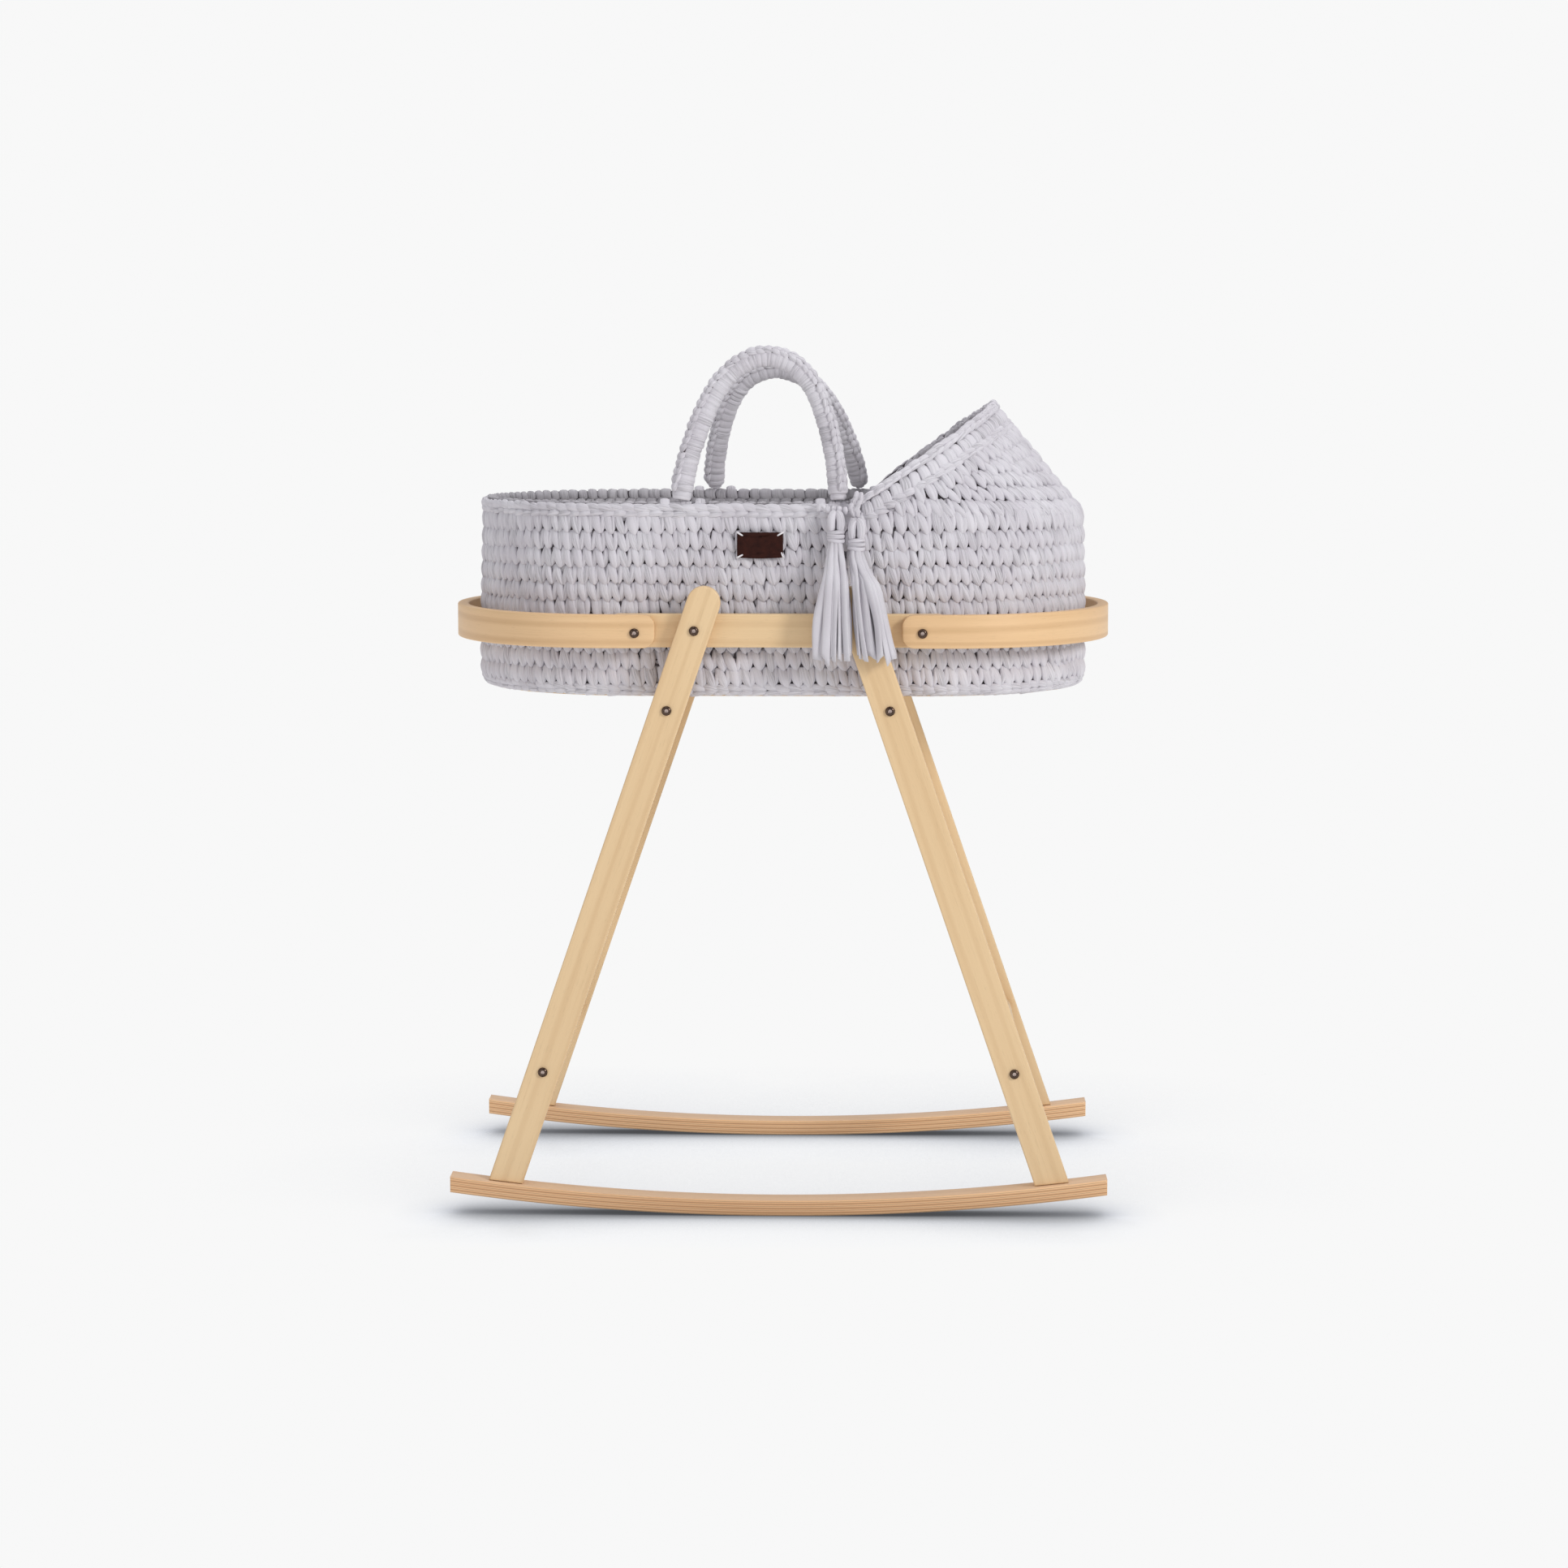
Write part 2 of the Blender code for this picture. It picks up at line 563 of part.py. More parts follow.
def half_stadium(inset, z, arc_steps=20, side_steps=3):
    """The head end's part of the basket's outline, from the near corner round to the far one."""
    radius = BASKET_HALF_WIDTH - inset
    points = []
    for i in range(side_steps):
        x = hood_corner_x(-HOOD_HALF_WIDTH)
        points.append(Vector((x + (BASKET_END_X - x) * i / side_steps, -radius, z)))
    for i in range(arc_steps + 1):
        turn = HALF_TURN * (i / arc_steps - 0.5)
        points.append(Vector((BASKET_END_X + radius * math.cos(turn), radius * math.sin(turn), z)))
    for i in range(side_steps - 1, -1, -1):
        x = hood_corner_x(HOOD_HALF_WIDTH)
        points.append(Vector((x + (BASKET_END_X - x) * i / side_steps, radius, z)))
    return points


def hood_arch(inset, count):
    """The hood's opening edge: half an ellipse that leans back towards the head from the rim's corners."""
    half_width = HOOD_HALF_WIDTH - inset
    points = []
    for i in range(count):
        turn = HALF_TURN * i / (count - 1)
        y = -half_width * math.cos(turn)
        reach = math.sin(turn)
        x = hood_corner_x(y)
        top_x = HOOD_TOP_X - inset * HOOD_INSET_X
        top_z = HOOD_TOP_Z - inset * HOOD_INSET_Z
        points.append(Vector((x + (top_x - x) * reach, y, HOOD_CORNER_Z + (top_z - HOOD_CORNER_Z) * reach)))
    return points


def hood_rows(inset):
    """Lower edge, band line and opening edge of the hood's surface, each a list along the hood."""
    low = half_stadium(WALL_TOP_INSET + inset, WALL_TOP + GAP)
    high = hood_arch(inset, len(low))
    return low, high


def band_fraction(low, high):
    """How far up each ruling the edge band starts."""
    length = (high - low).length
    return 1 - min(HOOD_BAND_WIDTH / length, HOOD_BAND_SHARE)


def hood_shell_part(name, start, stop, parent):
    """A stretch of the hood between two fractions of its rulings, with real thickness."""
    outer_low, outer_high = hood_rows(0)
    inner_low, inner_high = hood_rows(HOOD_THICKNESS)
    bm = bmesh.new()
    loops = []
    for k in range(len(outer_low)):
        band = band_fraction(outer_low[k], outer_high[k])
        length = (outer_high[k] - outer_low[k]).length
        first = 0.0 if start == "foot" else band + GAP / length
        last = 1.0 if stop == "edge" else band
        outer = [outer_low[k].lerp(outer_high[k], first + (last - first) * t) for t in (0, 0.5, 1)]
        inner = [inner_low[k].lerp(inner_high[k], first + (last - first) * t) for t in (1, 0.5, 0)]
        loops.append(outer + inner)
    loft(bm, loops)
    add(name, "yarn", bm, parent)


def rim_braid(parent):
    """The chained edge on the open part of the rim, from the near hood corner round the foot to the far one."""
    inset = WALL_TOP_INSET
    points = []
    side_steps = 6
    arc_steps = 20
    near_x = hood_corner_x(-HOOD_HALF_WIDTH) - GAP
    far_x = hood_corner_x(HOOD_HALF_WIDTH) - GAP
    radius = BASKET_HALF_WIDTH - inset
    for i in range(side_steps):
        points.append((Vector((near_x + (-BASKET_END_X - near_x) * i / side_steps, 0, 0)), Vector((0, -1, 0))))
    for i in range(arc_steps + 1):
        turn = -HALF_TURN * (0.5 + i / arc_steps)
        points.append((Vector((-BASKET_END_X, 0, 0)), Vector((math.cos(turn), math.sin(turn), 0))))
    for i in range(side_steps - 1, -1, -1):
        points.append((Vector((far_x + (-BASKET_END_X - far_x) * i / side_steps, 0, 0)), Vector((0, 1, 0))))
    bm = bmesh.new()
    loops = []
    for place, normal in points:
        middle = place + normal * (radius - WALL_THICKNESS / 2)
        centre = middle + Vector((0, 0, WALL_TOP + GAP + RIM_HEIGHT / 2))
        loops.append(ring_points(centre, normal, Vector((0, 0, 1)), RIM_WIDTH / 2, RIM_HEIGHT / 2, 8))
    loft(bm, loops)
    add("rim_braid", "yarn", bm, parent)


def leather_tag(parent):
    bm = bmesh.new()
    outline = [Vector((x, TAG_Y, z)) for x, z in
               ((TAG_X[0], TAG_Z[0]), (TAG_X[1], TAG_Z[0]), (TAG_X[1], TAG_Z[1]), (TAG_X[0], TAG_Z[1]))]
    prism(bm, outline, (0, -TAG_THICKNESS, 0))
    add("leather_tag", "leather", bm, parent, smooth=20)


def tassel_tie(parent):
    """The crocheted cord that ties both tassels on beside the near handle's foot."""
    crosswise = Vector((0, 1, 0))
    loops = []
    for i, (x, z) in enumerate(TIE_LINE):
        before = TIE_LINE[max(i - 1, 0)]
        after = TIE_LINE[min(i + 1, len(TIE_LINE) - 1)]
        along = Vector((after[0] - before[0], 0, after[1] - before[1])).normalized()
        loops.append(ring_points((x, TIE_Y, z), crosswise, along.cross(crosswise), TIE_RADIUS, TIE_RADIUS, 8))
    bm = bmesh.new()
    loft(bm, loops)
    add("tassel_tie", "yarn", bm, parent)


def build_basket(parent):
    base_board(parent)
    basket_wall(parent)
    rim_braid(parent)
    hood_shell_part("hood_shell", "foot", "band", parent)
    hood_shell_part("hood_edge_band", "band", "edge", parent)
    leather_tag(parent)
    tassel_tie(parent)


def mattress(parent):
    """A foam pad with the basket's outline and rounded edges."""
    low = BASKET_BOTTOM + BOARD_THICKNESS + GAP
    radius = MATTRESS_EDGE_R
    inset = BASKET_HALF_WIDTH - MATTRESS_HALF_WIDTH
    profile = ((0, radius), (radius, 0), (MATTRESS_THICKNESS - radius, 0), (MATTRESS_THICKNESS, radius))
    bm = bmesh.new()
    loft(bm, [stadium(inset + extra, low + rise, 8, 4) for rise, extra in profile])
    add("mattress", "cotton", bm, parent)


# ---------------------------------------------------------------- handles

def handle_point(spec, turn):
    """A point of a handle's arch, in its own plane: distance along the basket and height from its base's middle."""
    rise = math.sin(turn)
    reach = HANDLE_HALF_SPAN * math.cos(turn) * (1 - HANDLE_PINCH * rise * math.cos(turn) ** 2)
    return Vector((spec["sway"] * rise - reach, spec["rise"] * rise))


def handle_line(spec, steps):
    """Points along the middle of a handle's arch, with the outward normal and the crosswise direction of each."""
    side, lean = spec["side"], spec["lean"]
    along = Vector((1, 0, 0))
    up = Vector((0, -side * math.sin(lean), math.cos(lean)))
    base = Vector((spec["centre_x"], side * HANDLE_Y, HANDLE_HINGE_Z))
    points = []
    for i in range(steps + 1):
        turn = HALF_TURN * i / steps
        x, z = handle_point(spec, turn)
        run, climb = (handle_point(spec, turn + TURN_STEP) - handle_point(spec, turn - TURN_STEP)).normalized()
        points.append((base + along * x + up * z, up * run - along * climb, along.cross(up)))
    return points


def handle_wrap(label, spec, parent):
    """The wrapped sleeve: a tube along the arch, with a seam ridge, rounded feet and a hollow for its core."""
    sides = HANDLE_SIDES
    steps = HANDLE_STEPS
    hollow = HANDLE_CORE_RADIUS + GAP
    line = handle_line(spec, steps)
    outer, inner = [], []
    for i, (centre, normal, across) in enumerate(line):
        section = ring_points(centre, normal, across, HANDLE_RADIUS, HANDLE_RADIUS, sides)
        ridge = HANDLE_RIDGE * min(1.0, min(i, steps - i) / 2)
        section[0] += normal * ridge
        outer.append(section)
        inner.append(ring_points(centre, normal, across, hollow, hollow, sides))
    feet = []
    for end, inward in ((0, 1), (-1, -2)):
        centre, normal, across = line[end]
        down = (centre - line[inward][0]).normalized()
        foot = []
        for turn in (math.radians(25), math.radians(50)):
            radius = HANDLE_RADIUS * math.cos(turn)
            foot.append(ring_points(centre + down * (HANDLE_RADIUS * math.sin(turn)), normal, across,
                                    radius, radius, sides))
        feet.append(foot)
    outer = feet[0][::-1] + outer + feet[1]
    bm = bmesh.new()
    loft(bm, outer + inner[::-1], closed=True)
    add(f"handle_{label}_wrap", "yarn", bm, parent)


def handle_core(label, spec, parent):
    bm = bmesh.new()
    loft(bm, [ring_points(c, n, a, HANDLE_CORE_RADIUS, HANDLE_CORE_RADIUS, HANDLE_SIDES)
              for c, n, a in handle_line(spec, HANDLE_STEPS)])
    add(f"handle_{label}_core", "cord", bm, parent)


# ---------------------------------------------------------------- tassels

def tassel(label, spec, parent):
    """A looped head, a wound binding and a skirt of strips that hangs over the top of the leg."""
    x, top, foot_x = spec["x"], spec["top_z"], spec["foot_x"]
    head = bmesh.new()
    turned(head, (x, TASSEL_Y, top - TASSEL_HEAD_END), (0, 0, 1), TASSEL_HEAD_PROFILE, 10)
    add(f"tassel_{label}_head", "yarn", head, parent)

    binding = bmesh.new()
    turned(binding, (x, TASSEL_Y, top - TASSEL_BINDING_END), (0, 0, 1), TASSEL_BINDING_PROFILE, 12)
    add(f"tassel_{label}_binding", "yarn", binding, parent)

    # Height, y, half width, half depth and share of the way from the head's x to the foot's
    sections = (
        (top - TASSEL_SKIRT_START, TASSEL_Y, 0.0095, 0.0090, 0.0),
        (top - TASSEL_SPREAD_END, TASSEL_Y - 0.014, 0.0140, 0.0105, 0.25),
        (TASSEL_STEP_Z, TASSEL_STEP_Y, 0.0180, 0.0110, 0.5),
        ((TASSEL_STEP_Z + TASSEL_FOOT_Z) / 2, (TASSEL_STEP_Y + TASSEL_FOOT_Y) / 2, 0.0225, 0.0110, 0.8),
        (TASSEL_FOOT_Z, TASSEL_FOOT_Y, 0.0245, 0.0110, 1.0),
    )
    skirt = bmesh.new()
    loft(skirt, [ring_points((x + (foot_x - x) * t, y, z), Vector((1, 0, 0)), Vector((0, 1, 0)), rx, ry, 12)
                 for z, y, rx, ry, t in sections])
    add(f"tassel_{label}_skirt", "yarn", skirt, parent)


def main():
    clear_scene()
    root = empty("bassinet", (0, FRAME_MIDDLE_Y, 0))
    stand = empty("stand", (0, 0, 0), root)
    build_stand(stand)

    basket = empty("basket", (0, 0, 0), root)
    build_basket(basket)
    bed = empty("bed", (0, 0, BASKET_BOTTOM + BOARD_THICKNESS), basket)
    mattress(bed)

    for label, spec in HANDLES.items():
        hinge = empty(f"handle_{label}", (0, spec["side"] * HANDLE_Y, HANDLE_HINGE_Z), basket)
        handle_wrap(label, spec, hinge)
        handle_core(label, spec, hinge)

    for label, spec in TASSELS.items():
        hinge = empty(f"tassel_{label}", (spec["x"], TASSEL_Y, spec["top_z"]), basket)
        tassel(label, spec, hinge)


main()
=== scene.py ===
"""Looks of the bassinet on stand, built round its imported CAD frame.

The basket, hood, handles and tassels are worked stitch by stitch in thick jersey yarn; the boards and dowels
get rounded edges and wood grain. Metres, +Z up, the bassinet's head towards +X and the tassels towards -Y.
"""

import json
import math

import bpy
import numpy as np
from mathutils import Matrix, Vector

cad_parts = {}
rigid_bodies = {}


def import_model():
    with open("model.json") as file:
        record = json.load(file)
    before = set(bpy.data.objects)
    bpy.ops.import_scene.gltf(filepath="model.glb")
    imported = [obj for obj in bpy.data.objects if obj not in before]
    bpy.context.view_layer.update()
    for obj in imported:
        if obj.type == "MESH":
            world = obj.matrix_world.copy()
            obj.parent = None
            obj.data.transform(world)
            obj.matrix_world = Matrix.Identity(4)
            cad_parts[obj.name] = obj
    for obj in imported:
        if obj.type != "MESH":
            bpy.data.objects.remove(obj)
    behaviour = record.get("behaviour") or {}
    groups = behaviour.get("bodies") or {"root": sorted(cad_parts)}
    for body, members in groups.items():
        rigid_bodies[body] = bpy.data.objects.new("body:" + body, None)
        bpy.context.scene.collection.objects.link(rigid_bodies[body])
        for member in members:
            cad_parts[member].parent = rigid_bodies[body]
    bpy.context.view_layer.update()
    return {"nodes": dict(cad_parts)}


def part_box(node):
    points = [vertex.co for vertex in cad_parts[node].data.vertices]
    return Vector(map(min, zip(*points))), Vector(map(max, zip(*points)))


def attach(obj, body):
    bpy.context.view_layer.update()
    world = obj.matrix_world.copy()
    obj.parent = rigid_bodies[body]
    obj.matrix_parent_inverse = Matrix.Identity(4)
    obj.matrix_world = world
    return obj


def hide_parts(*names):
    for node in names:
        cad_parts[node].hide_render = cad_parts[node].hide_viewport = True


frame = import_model()

PI = math.pi
MID_Y = (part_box("rail_front")[0].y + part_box("rail_rear")[1].y) / 2      # the stand's middle plane

# Basket outline, about the stand's middle plane
END_X = 0.170                  # centre of each round end
HALF_W = 0.2065                # half the basket's width, which is the radius of its ends
STADIUM = 4 * END_X + 2 * PI * HALF_W
BASKET_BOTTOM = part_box("basket_wall")[0].z
WALL_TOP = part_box("basket_wall")[1].z
RIM_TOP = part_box("rim_braid")[1].z
TOP_INSET = 0.004              # how far the wall draws in at its top
FOOT_ROUND = 0.020             # height of the rounding at its foot
FOOT_INSET = 0.010

STITCH = 0.0145                # pitch along a row
COLUMNS = round(STADIUM / STITCH)
ROWS = 10
ROW_H = 0.0204
WALL_LEAN = 0.115              # how far the stitches drift sideways for each metre down

# Hood, as the CAD rules it
HOOD_X = 0.107                 # where its opening rises from the rim
HOOD_SKEW = 0.009              # the near corner is this much nearer the foot, and the far one nearer the head
HOOD_Z = 0.861
HOOD_TOP = (0.262, 0.972)      # x and z of the top of the opening
HOOD_HALF = 0.200              # half the opening's width
HOOD_COLUMNS = 50
BAND_W = 0.040                 # the edge band's width
BAND_COLUMNS = 46

# lean and chain (where the seam starts and ends round the handle) are in degrees
HANDLES = {
    "front": {"side": -1, "x": -0.0225, "lean": 5, "rise": 0.158, "sway": 0.0085, "chain": (33, 60)},
    "rear": {"side": 1, "x": 0.0005, "lean": 18, "rise": 0.1475, "sway": -0.0125, "chain": (34, 44)},
}
HANDLE_SPAN = 0.0925           # half the distance between a handle's feet
HANDLE_PINCH = 0.16            # how far its legs draw in above them
HANDLE_R = 0.0125
HANDLE_Y = 0.1965
HINGE_Z = RIM_TOP + HANDLE_R + 0.0006


def rng_for(name):
    """A random stream of its own for each piece, so that one piece's changes don't touch the others."""
    return np.random.default_rng(sum((i + 1) * ord(c) for i, c in enumerate(name)))


def circle(count, offset=0.0):
    """Angles evenly spaced round a full turn."""
    return 2 * PI * (np.arange(count) + offset) / count


def quarter(begin, steps):
    """Angles of a quarter turn that starts at begin degrees."""
    return [math.radians(begin + 90 * k / steps) for k in range(steps + 1)]


def unit(rows):
    return rows / np.linalg.norm(rows, axis=-1, keepdims=True)


def run_length(line):
    """Distance along a line of points, at each of them."""
    return np.concatenate(((0,), np.cumsum(np.linalg.norm(np.diff(line, axis=0), axis=1))))


def smooth_line(points, steps, passes):
    """A line through points with its corners worn round: its fractions, places and directions."""
    points = np.asarray(points, float)
    t = np.linspace(0, 1, steps)
    line = np.stack([np.interp(t, np.linspace(0, 1, len(points)), column) for column in points.T], 1)
    for _ in range(passes):
        line[1:-1] = (line[:-2] + 2 * line[1:-1] + line[2:]) / 4
    return t, line, unit(np.gradient(line, axis=0))


def strand_of(points, across, along, own):
    """Strand values for points: across the yarn from -1 to 1, metres along it and a number of its own."""
    return np.stack(np.broadcast_arrays(across, along, own, points[..., 0])[:3], -1)


def add_object(name, data):
    made = bpy.data.objects.new(name, data)
    bpy.context.scene.collection.objects.link(made)
    return made


def read_points(mesh):
    flat = np.zeros(len(mesh.vertices) * 3, np.float32)
    mesh.vertices.foreach_get("co", flat)
    return flat.reshape(-1, 3)


def write_points(mesh, points):
    mesh.vertices.foreach_set("co", points.astype(np.float32).ravel())
    mesh.update()


# ---------------------------------------------------------------- materials

class Graph:
    """Short-hand for building a node material."""

    def __init__(self, name):
        self.material = bpy.data.materials.new(name)
        self.material.use_nodes = True
        self.tree = self.material.node_tree
        self.shader = self.tree.nodes["Principled BSDF"]

    def node(self, kind, **settings):
        made = self.tree.nodes.new(kind)
        for key, value in settings.items():
            if key.startswith("in_"):
                made.inputs[key[3:].replace("_", " ")].default_value = value
            else:
                setattr(made, key, value)
        return made

    def link(self, source, target):
        self.tree.links.new(source, target)

    def value(self, operation, a, b=None):
        made = self.node("ShaderNodeMath", operation=operation)
        for socket, item in zip(made.inputs, (a, b)):
            if item is None:
                continue
            if isinstance(item, (int, float)):
                socket.default_value = item
            else:
                self.link(item, socket)
        return made.outputs[0]

    def vector(self, operation, a, b):
        made = self.node("ShaderNodeVectorMath", operation=operation)
        for socket, item in zip(made.inputs, (a, b)):
            if isinstance(item, tuple):
                socket.default_value = item
            else:
                self.link(item, socket)
        return made.outputs[0]

    def separate(self, vector):
        made = self.node("ShaderNodeSeparateXYZ")
        self.link(vector, made.inputs[0])
        return made.outputs

    def attribute(self, name):
        return self.node("ShaderNodeAttribute", attribute_name=name).outputs["Vector"]

    def place(self):
        return self.node("ShaderNodeTexCoord").outputs["Object"]

    def wave(self, vector, direction, scale, distortion):
        made = self.node("ShaderNodeTexWave", wave_type="BANDS", bands_direction=direction, in_Scale=scale,
                         in_Distortion=distortion)
        self.link(vector, made.inputs["Vector"])
        return made.outputs["Fac"]

    def noise(self, vector, scale, detail=3.0, roughness=0.55, distortion=0.0):
        made = self.node("ShaderNodeTexNoise", in_Scale=scale, in_Detail=detail, in_Roughness=roughness,
                         in_Distortion=distortion)
        self.link(vector, made.inputs["Vector"])
        return made.outputs["Fac"]

    def ramp(self, fac, *stops):
        made = self.node("ShaderNodeValToRGB")
        elements = made.color_ramp.elements
        while len(elements) < len(stops):
            elements.new(0.5)
        for element, (place, colour) in zip(elements, stops):
            element.position = place
            element.color = (*colour, 1.0)
        self.link(fac, made.inputs["Fac"])
        return made.outputs["Color"]

    def grey(self, fac, *stops):
        return self.ramp(fac, *[(place, (v, v, v)) for place, v in stops])

    def mix(self, kind, fac, a, b):
        made = self.node("ShaderNodeMix", data_type="RGBA", blend_type=kind)
        if isinstance(fac, (int, float)):
            made.inputs["Factor"].default_value = fac
        else:
            self.link(fac, made.inputs["Factor"])
        for socket, item in ((made.inputs[6], a), (made.inputs[7], b)):
            if isinstance(item, tuple):
                socket.default_value = (*item, 1.0)
            else:
                self.link(item, socket)
        return made.outputs[2]

    def bump(self, height, strength, distance, normal=None):
        made = self.node("ShaderNodeBump", in_Strength=strength, in_Distance=distance)
        self.link(height, made.inputs["Height"])
        if normal is not None:
            self.link(normal, made.inputs["Normal"])
        return made.outputs["Normal"]

    def finish(self, colour=None, normal=None, roughness=None, **uniform):
        for value, socket in ((colour, "Base Color"), (normal, "Normal"), (roughness, "Roughness")):
            if value is not None:
                self.link(value, self.shader.inputs[socket])
        for key, value in uniform.items():
            self.shader.inputs[key.replace("_", " ")].default_value = value
        return self.material


def yarn_material(name, pale, dark, creases=1.0):
    """Thick jersey yarn. strand is (across the lobe from -1 to 1, metres along it, a number of its own)."""
    g = Graph(name)
    strand, place = g.attribute("strand"), g.place()
    own = g.value("FRACT", g.value("MULTIPLY", g.separate(strand)["Z"], 7.31))
    amount = g.grey(own, (0.35, 0.30), (0.85, 1.0))
    fold = g.noise(g.vector("MULTIPLY", strand, (2.3, 13.0, 53.0)), 1.0, 2.0, 0.45, 0.12)
    split = g.value("ABSOLUTE", g.value("SUBTRACT", fold, 0.5))
    line = g.value("MULTIPLY", g.grey(split, (0.0, 1.0), (0.02, 0.55), (0.06, 0.0)), amount)
    fine = g.noise(g.vector("MULTIPLY", strand, (9.0, 34.0, 91.0)), 1.0, 3.0, 0.6)
    fuzz = g.noise(place, 900.0, 2.0, 0.7)
    blotch = g.noise(place, 22.0, 2.0, 0.5)
    tint = g.mix("MIX", g.grey(blotch, (0.35, 0.0), (0.65, 1.0)), pale, dark)
    # Painted shade: the colour darkens along the fold lines, where shade falls in the yarn's creases.
    wear_and_crease_shade = g.mix("MULTIPLY", 0.42 * creases, tint, g.grey(line, (0.0, 1.0), (1.0, 0.30)))
    speck = g.mix("MULTIPLY", 0.12, wear_and_crease_shade, g.grey(fuzz, (0.3, 0.7), (0.7, 1.0)))
    height = g.value("SUBTRACT", g.value("MULTIPLY", fine, 0.30), g.value("MULTIPLY", line, 0.9))
    normal = g.bump(height, 0.50 * creases, 0.0014)
    normal = g.bump(fuzz, 0.22, 0.0003, normal)
    return g.finish(speck, normal, Roughness=0.88, Sheen_Weight=0.18, Sheen_Roughness=0.45,
                    Specular_IOR_Level=0.25)


PLY = 0.0026                   # thickness of a rocker's layers
GLUE = (0.16, 0.065, 0.028)
# Painted highlight: the paler colour of a rocker's upward-facing faces, as lit from above.
PAINTED_TOP_LIGHT = (0.80, 0.62, 0.46)


def wood_material(name, light, mid, dark, ply=False, figure=0.22):
    """Pale lacquered birch. grain is metres along, across and through the board, shifted for each board."""
    g = Graph(name)
    grain = g.attribute("grain")
    broad = g.noise(g.vector("MULTIPLY", grain, (1.6, 26.0, 26.0)), 1.0, 3.0, 0.5, 0.6)
    fibre = g.noise(g.vector("MULTIPLY", grain, (11.0, 420.0, 420.0)), 1.0, 3.0, 0.6)
    fleck = g.noise(g.vector("MULTIPLY", grain, (75.0, 900.0, 900.0)), 1.0, 2.0, 0.6)
    rings = g.wave(g.vector("MULTIPLY", grain, (0.9, 16.0, 9.0)), "Y", 1.0, 6.0)

    def blend_tone(colour, mask, amount, tone=dark):
        return g.mix("MIX", g.value("MULTIPLY", mask, amount), colour, tone)

    colour = g.ramp(broad, (0.30, mid), (0.72, light))
    colour = blend_tone(colour, g.grey(rings, (0.55, 0.0), (1.0, 1.0)), figure)
    colour = blend_tone(colour, g.grey(fibre, (0.52, 0.0), (0.80, 1.0)), 0.20)
    colour = g.mix("MULTIPLY", 0.18, colour, g.grey(fleck, (0.60, 1.0), (0.74, 0.45)))
    height = g.value("ADD", g.value("MULTIPLY", fibre, 0.6), g.value("MULTIPLY", fleck, 0.4))
    if ply:
        through = g.separate(grain)["Z"]
        facing = g.separate(g.node("ShaderNodeNewGeometry").outputs["Normal"])
        edge = g.grey(g.value("ABSOLUTE", facing["Y"]), (0.55, 0.0), (0.85, 1.0))
        layer = g.value("FRACT", g.value("MULTIPLY", through, 1 / PLY))
        wobble = g.value("MULTIPLY", g.value("SUBTRACT", broad, 0.5), 0.35)
        glue = g.grey(g.value("ABSOLUTE", g.value("SUBTRACT", g.value("ADD", layer, wobble), 0.5)),
                      (0.0, 1.0), (0.10, 0.5), (0.2, 0.0))
        parity = g.value("FRACT", g.value("MULTIPLY", through, 1 / (2 * PLY)))
        crosswise = g.grey(parity, (0.46, 0.0), (0.54, 1.0))
        colour = blend_tone(colour, g.value("MULTIPLY", edge, crosswise), 0.50)
        colour = blend_tone(colour, g.value("MULTIPLY", edge, glue), 0.65, GLUE)
        # Painted highlight: upward-facing faces turn paler, as lit from above.
        colour = blend_tone(colour, g.grey(facing["Z"], (0.75, 0.0), (0.95, 1.0)), 0.45, PAINTED_TOP_LIGHT)
    normal = g.bump(height, 0.16, 0.0006)
    rough = g.grey(broad, (0.3, 0.40), (0.7, 0.52))
    return g.finish(colour, normal, rough, Specular_IOR_Level=0.42, Coat_Weight=0.12, Coat_Roughness=0.35)


def leather_material():
    g = Graph("tag_leather")
    place = g.place()
    pores = g.node("ShaderNodeTexVoronoi", feature="DISTANCE_TO_EDGE", in_Scale=900.0)
    g.link(place, pores.inputs["Vector"])
    cloud = g.noise(place, 140.0, 4.0, 0.6)
    colour = g.ramp(cloud, (0.3, (0.022, 0.0055, 0.004)), (0.7, (0.044, 0.012, 0.008)))
    height = g.value("ADD", g.grey(pores.outputs["Distance"], (0.0, 0.0), (0.12, 1.0)), cloud)
    return g.finish(colour, g.bump(height, 0.5, 0.0004), g.grey(cloud, (0.3, 0.58), (0.7, 0.74)),
                    Specular_IOR_Level=0.12)


def metal_material(name, colour, wear_and_crease_shade, roughness, painted_reflection=None):
    """The optional paler colour is a painted reflection in the middle of a bolt's head, round its socket;
    strand's x is then the share of the head's radius.
    """
    g = Graph(name)
    place = g.place()
    cloud = g.noise(place, 500.0, 4.0, 0.65)
    scratch = g.noise(g.vector("MULTIPLY", place, (300.0, 4000.0, 900.0)), 1.0, 2.0, 0.6)
    tint = g.ramp(cloud, (0.35, colour), (0.75, wear_and_crease_shade))
    if painted_reflection:
        # Painted reflection: the middle of the head, round the socket, is paler.
        from_axis = g.separate(g.attribute("strand"))["X"]
        tint = g.mix("MIX", g.grey(from_axis, (0.36, 1.0), (0.42, 0.0)), tint, painted_reflection)
    rough = g.grey(cloud, (0.3, roughness - 0.07), (0.7, roughness + 0.08))
    return g.finish(tint, g.bump(scratch, 0.12, 0.0002), rough, Metallic=1.0)


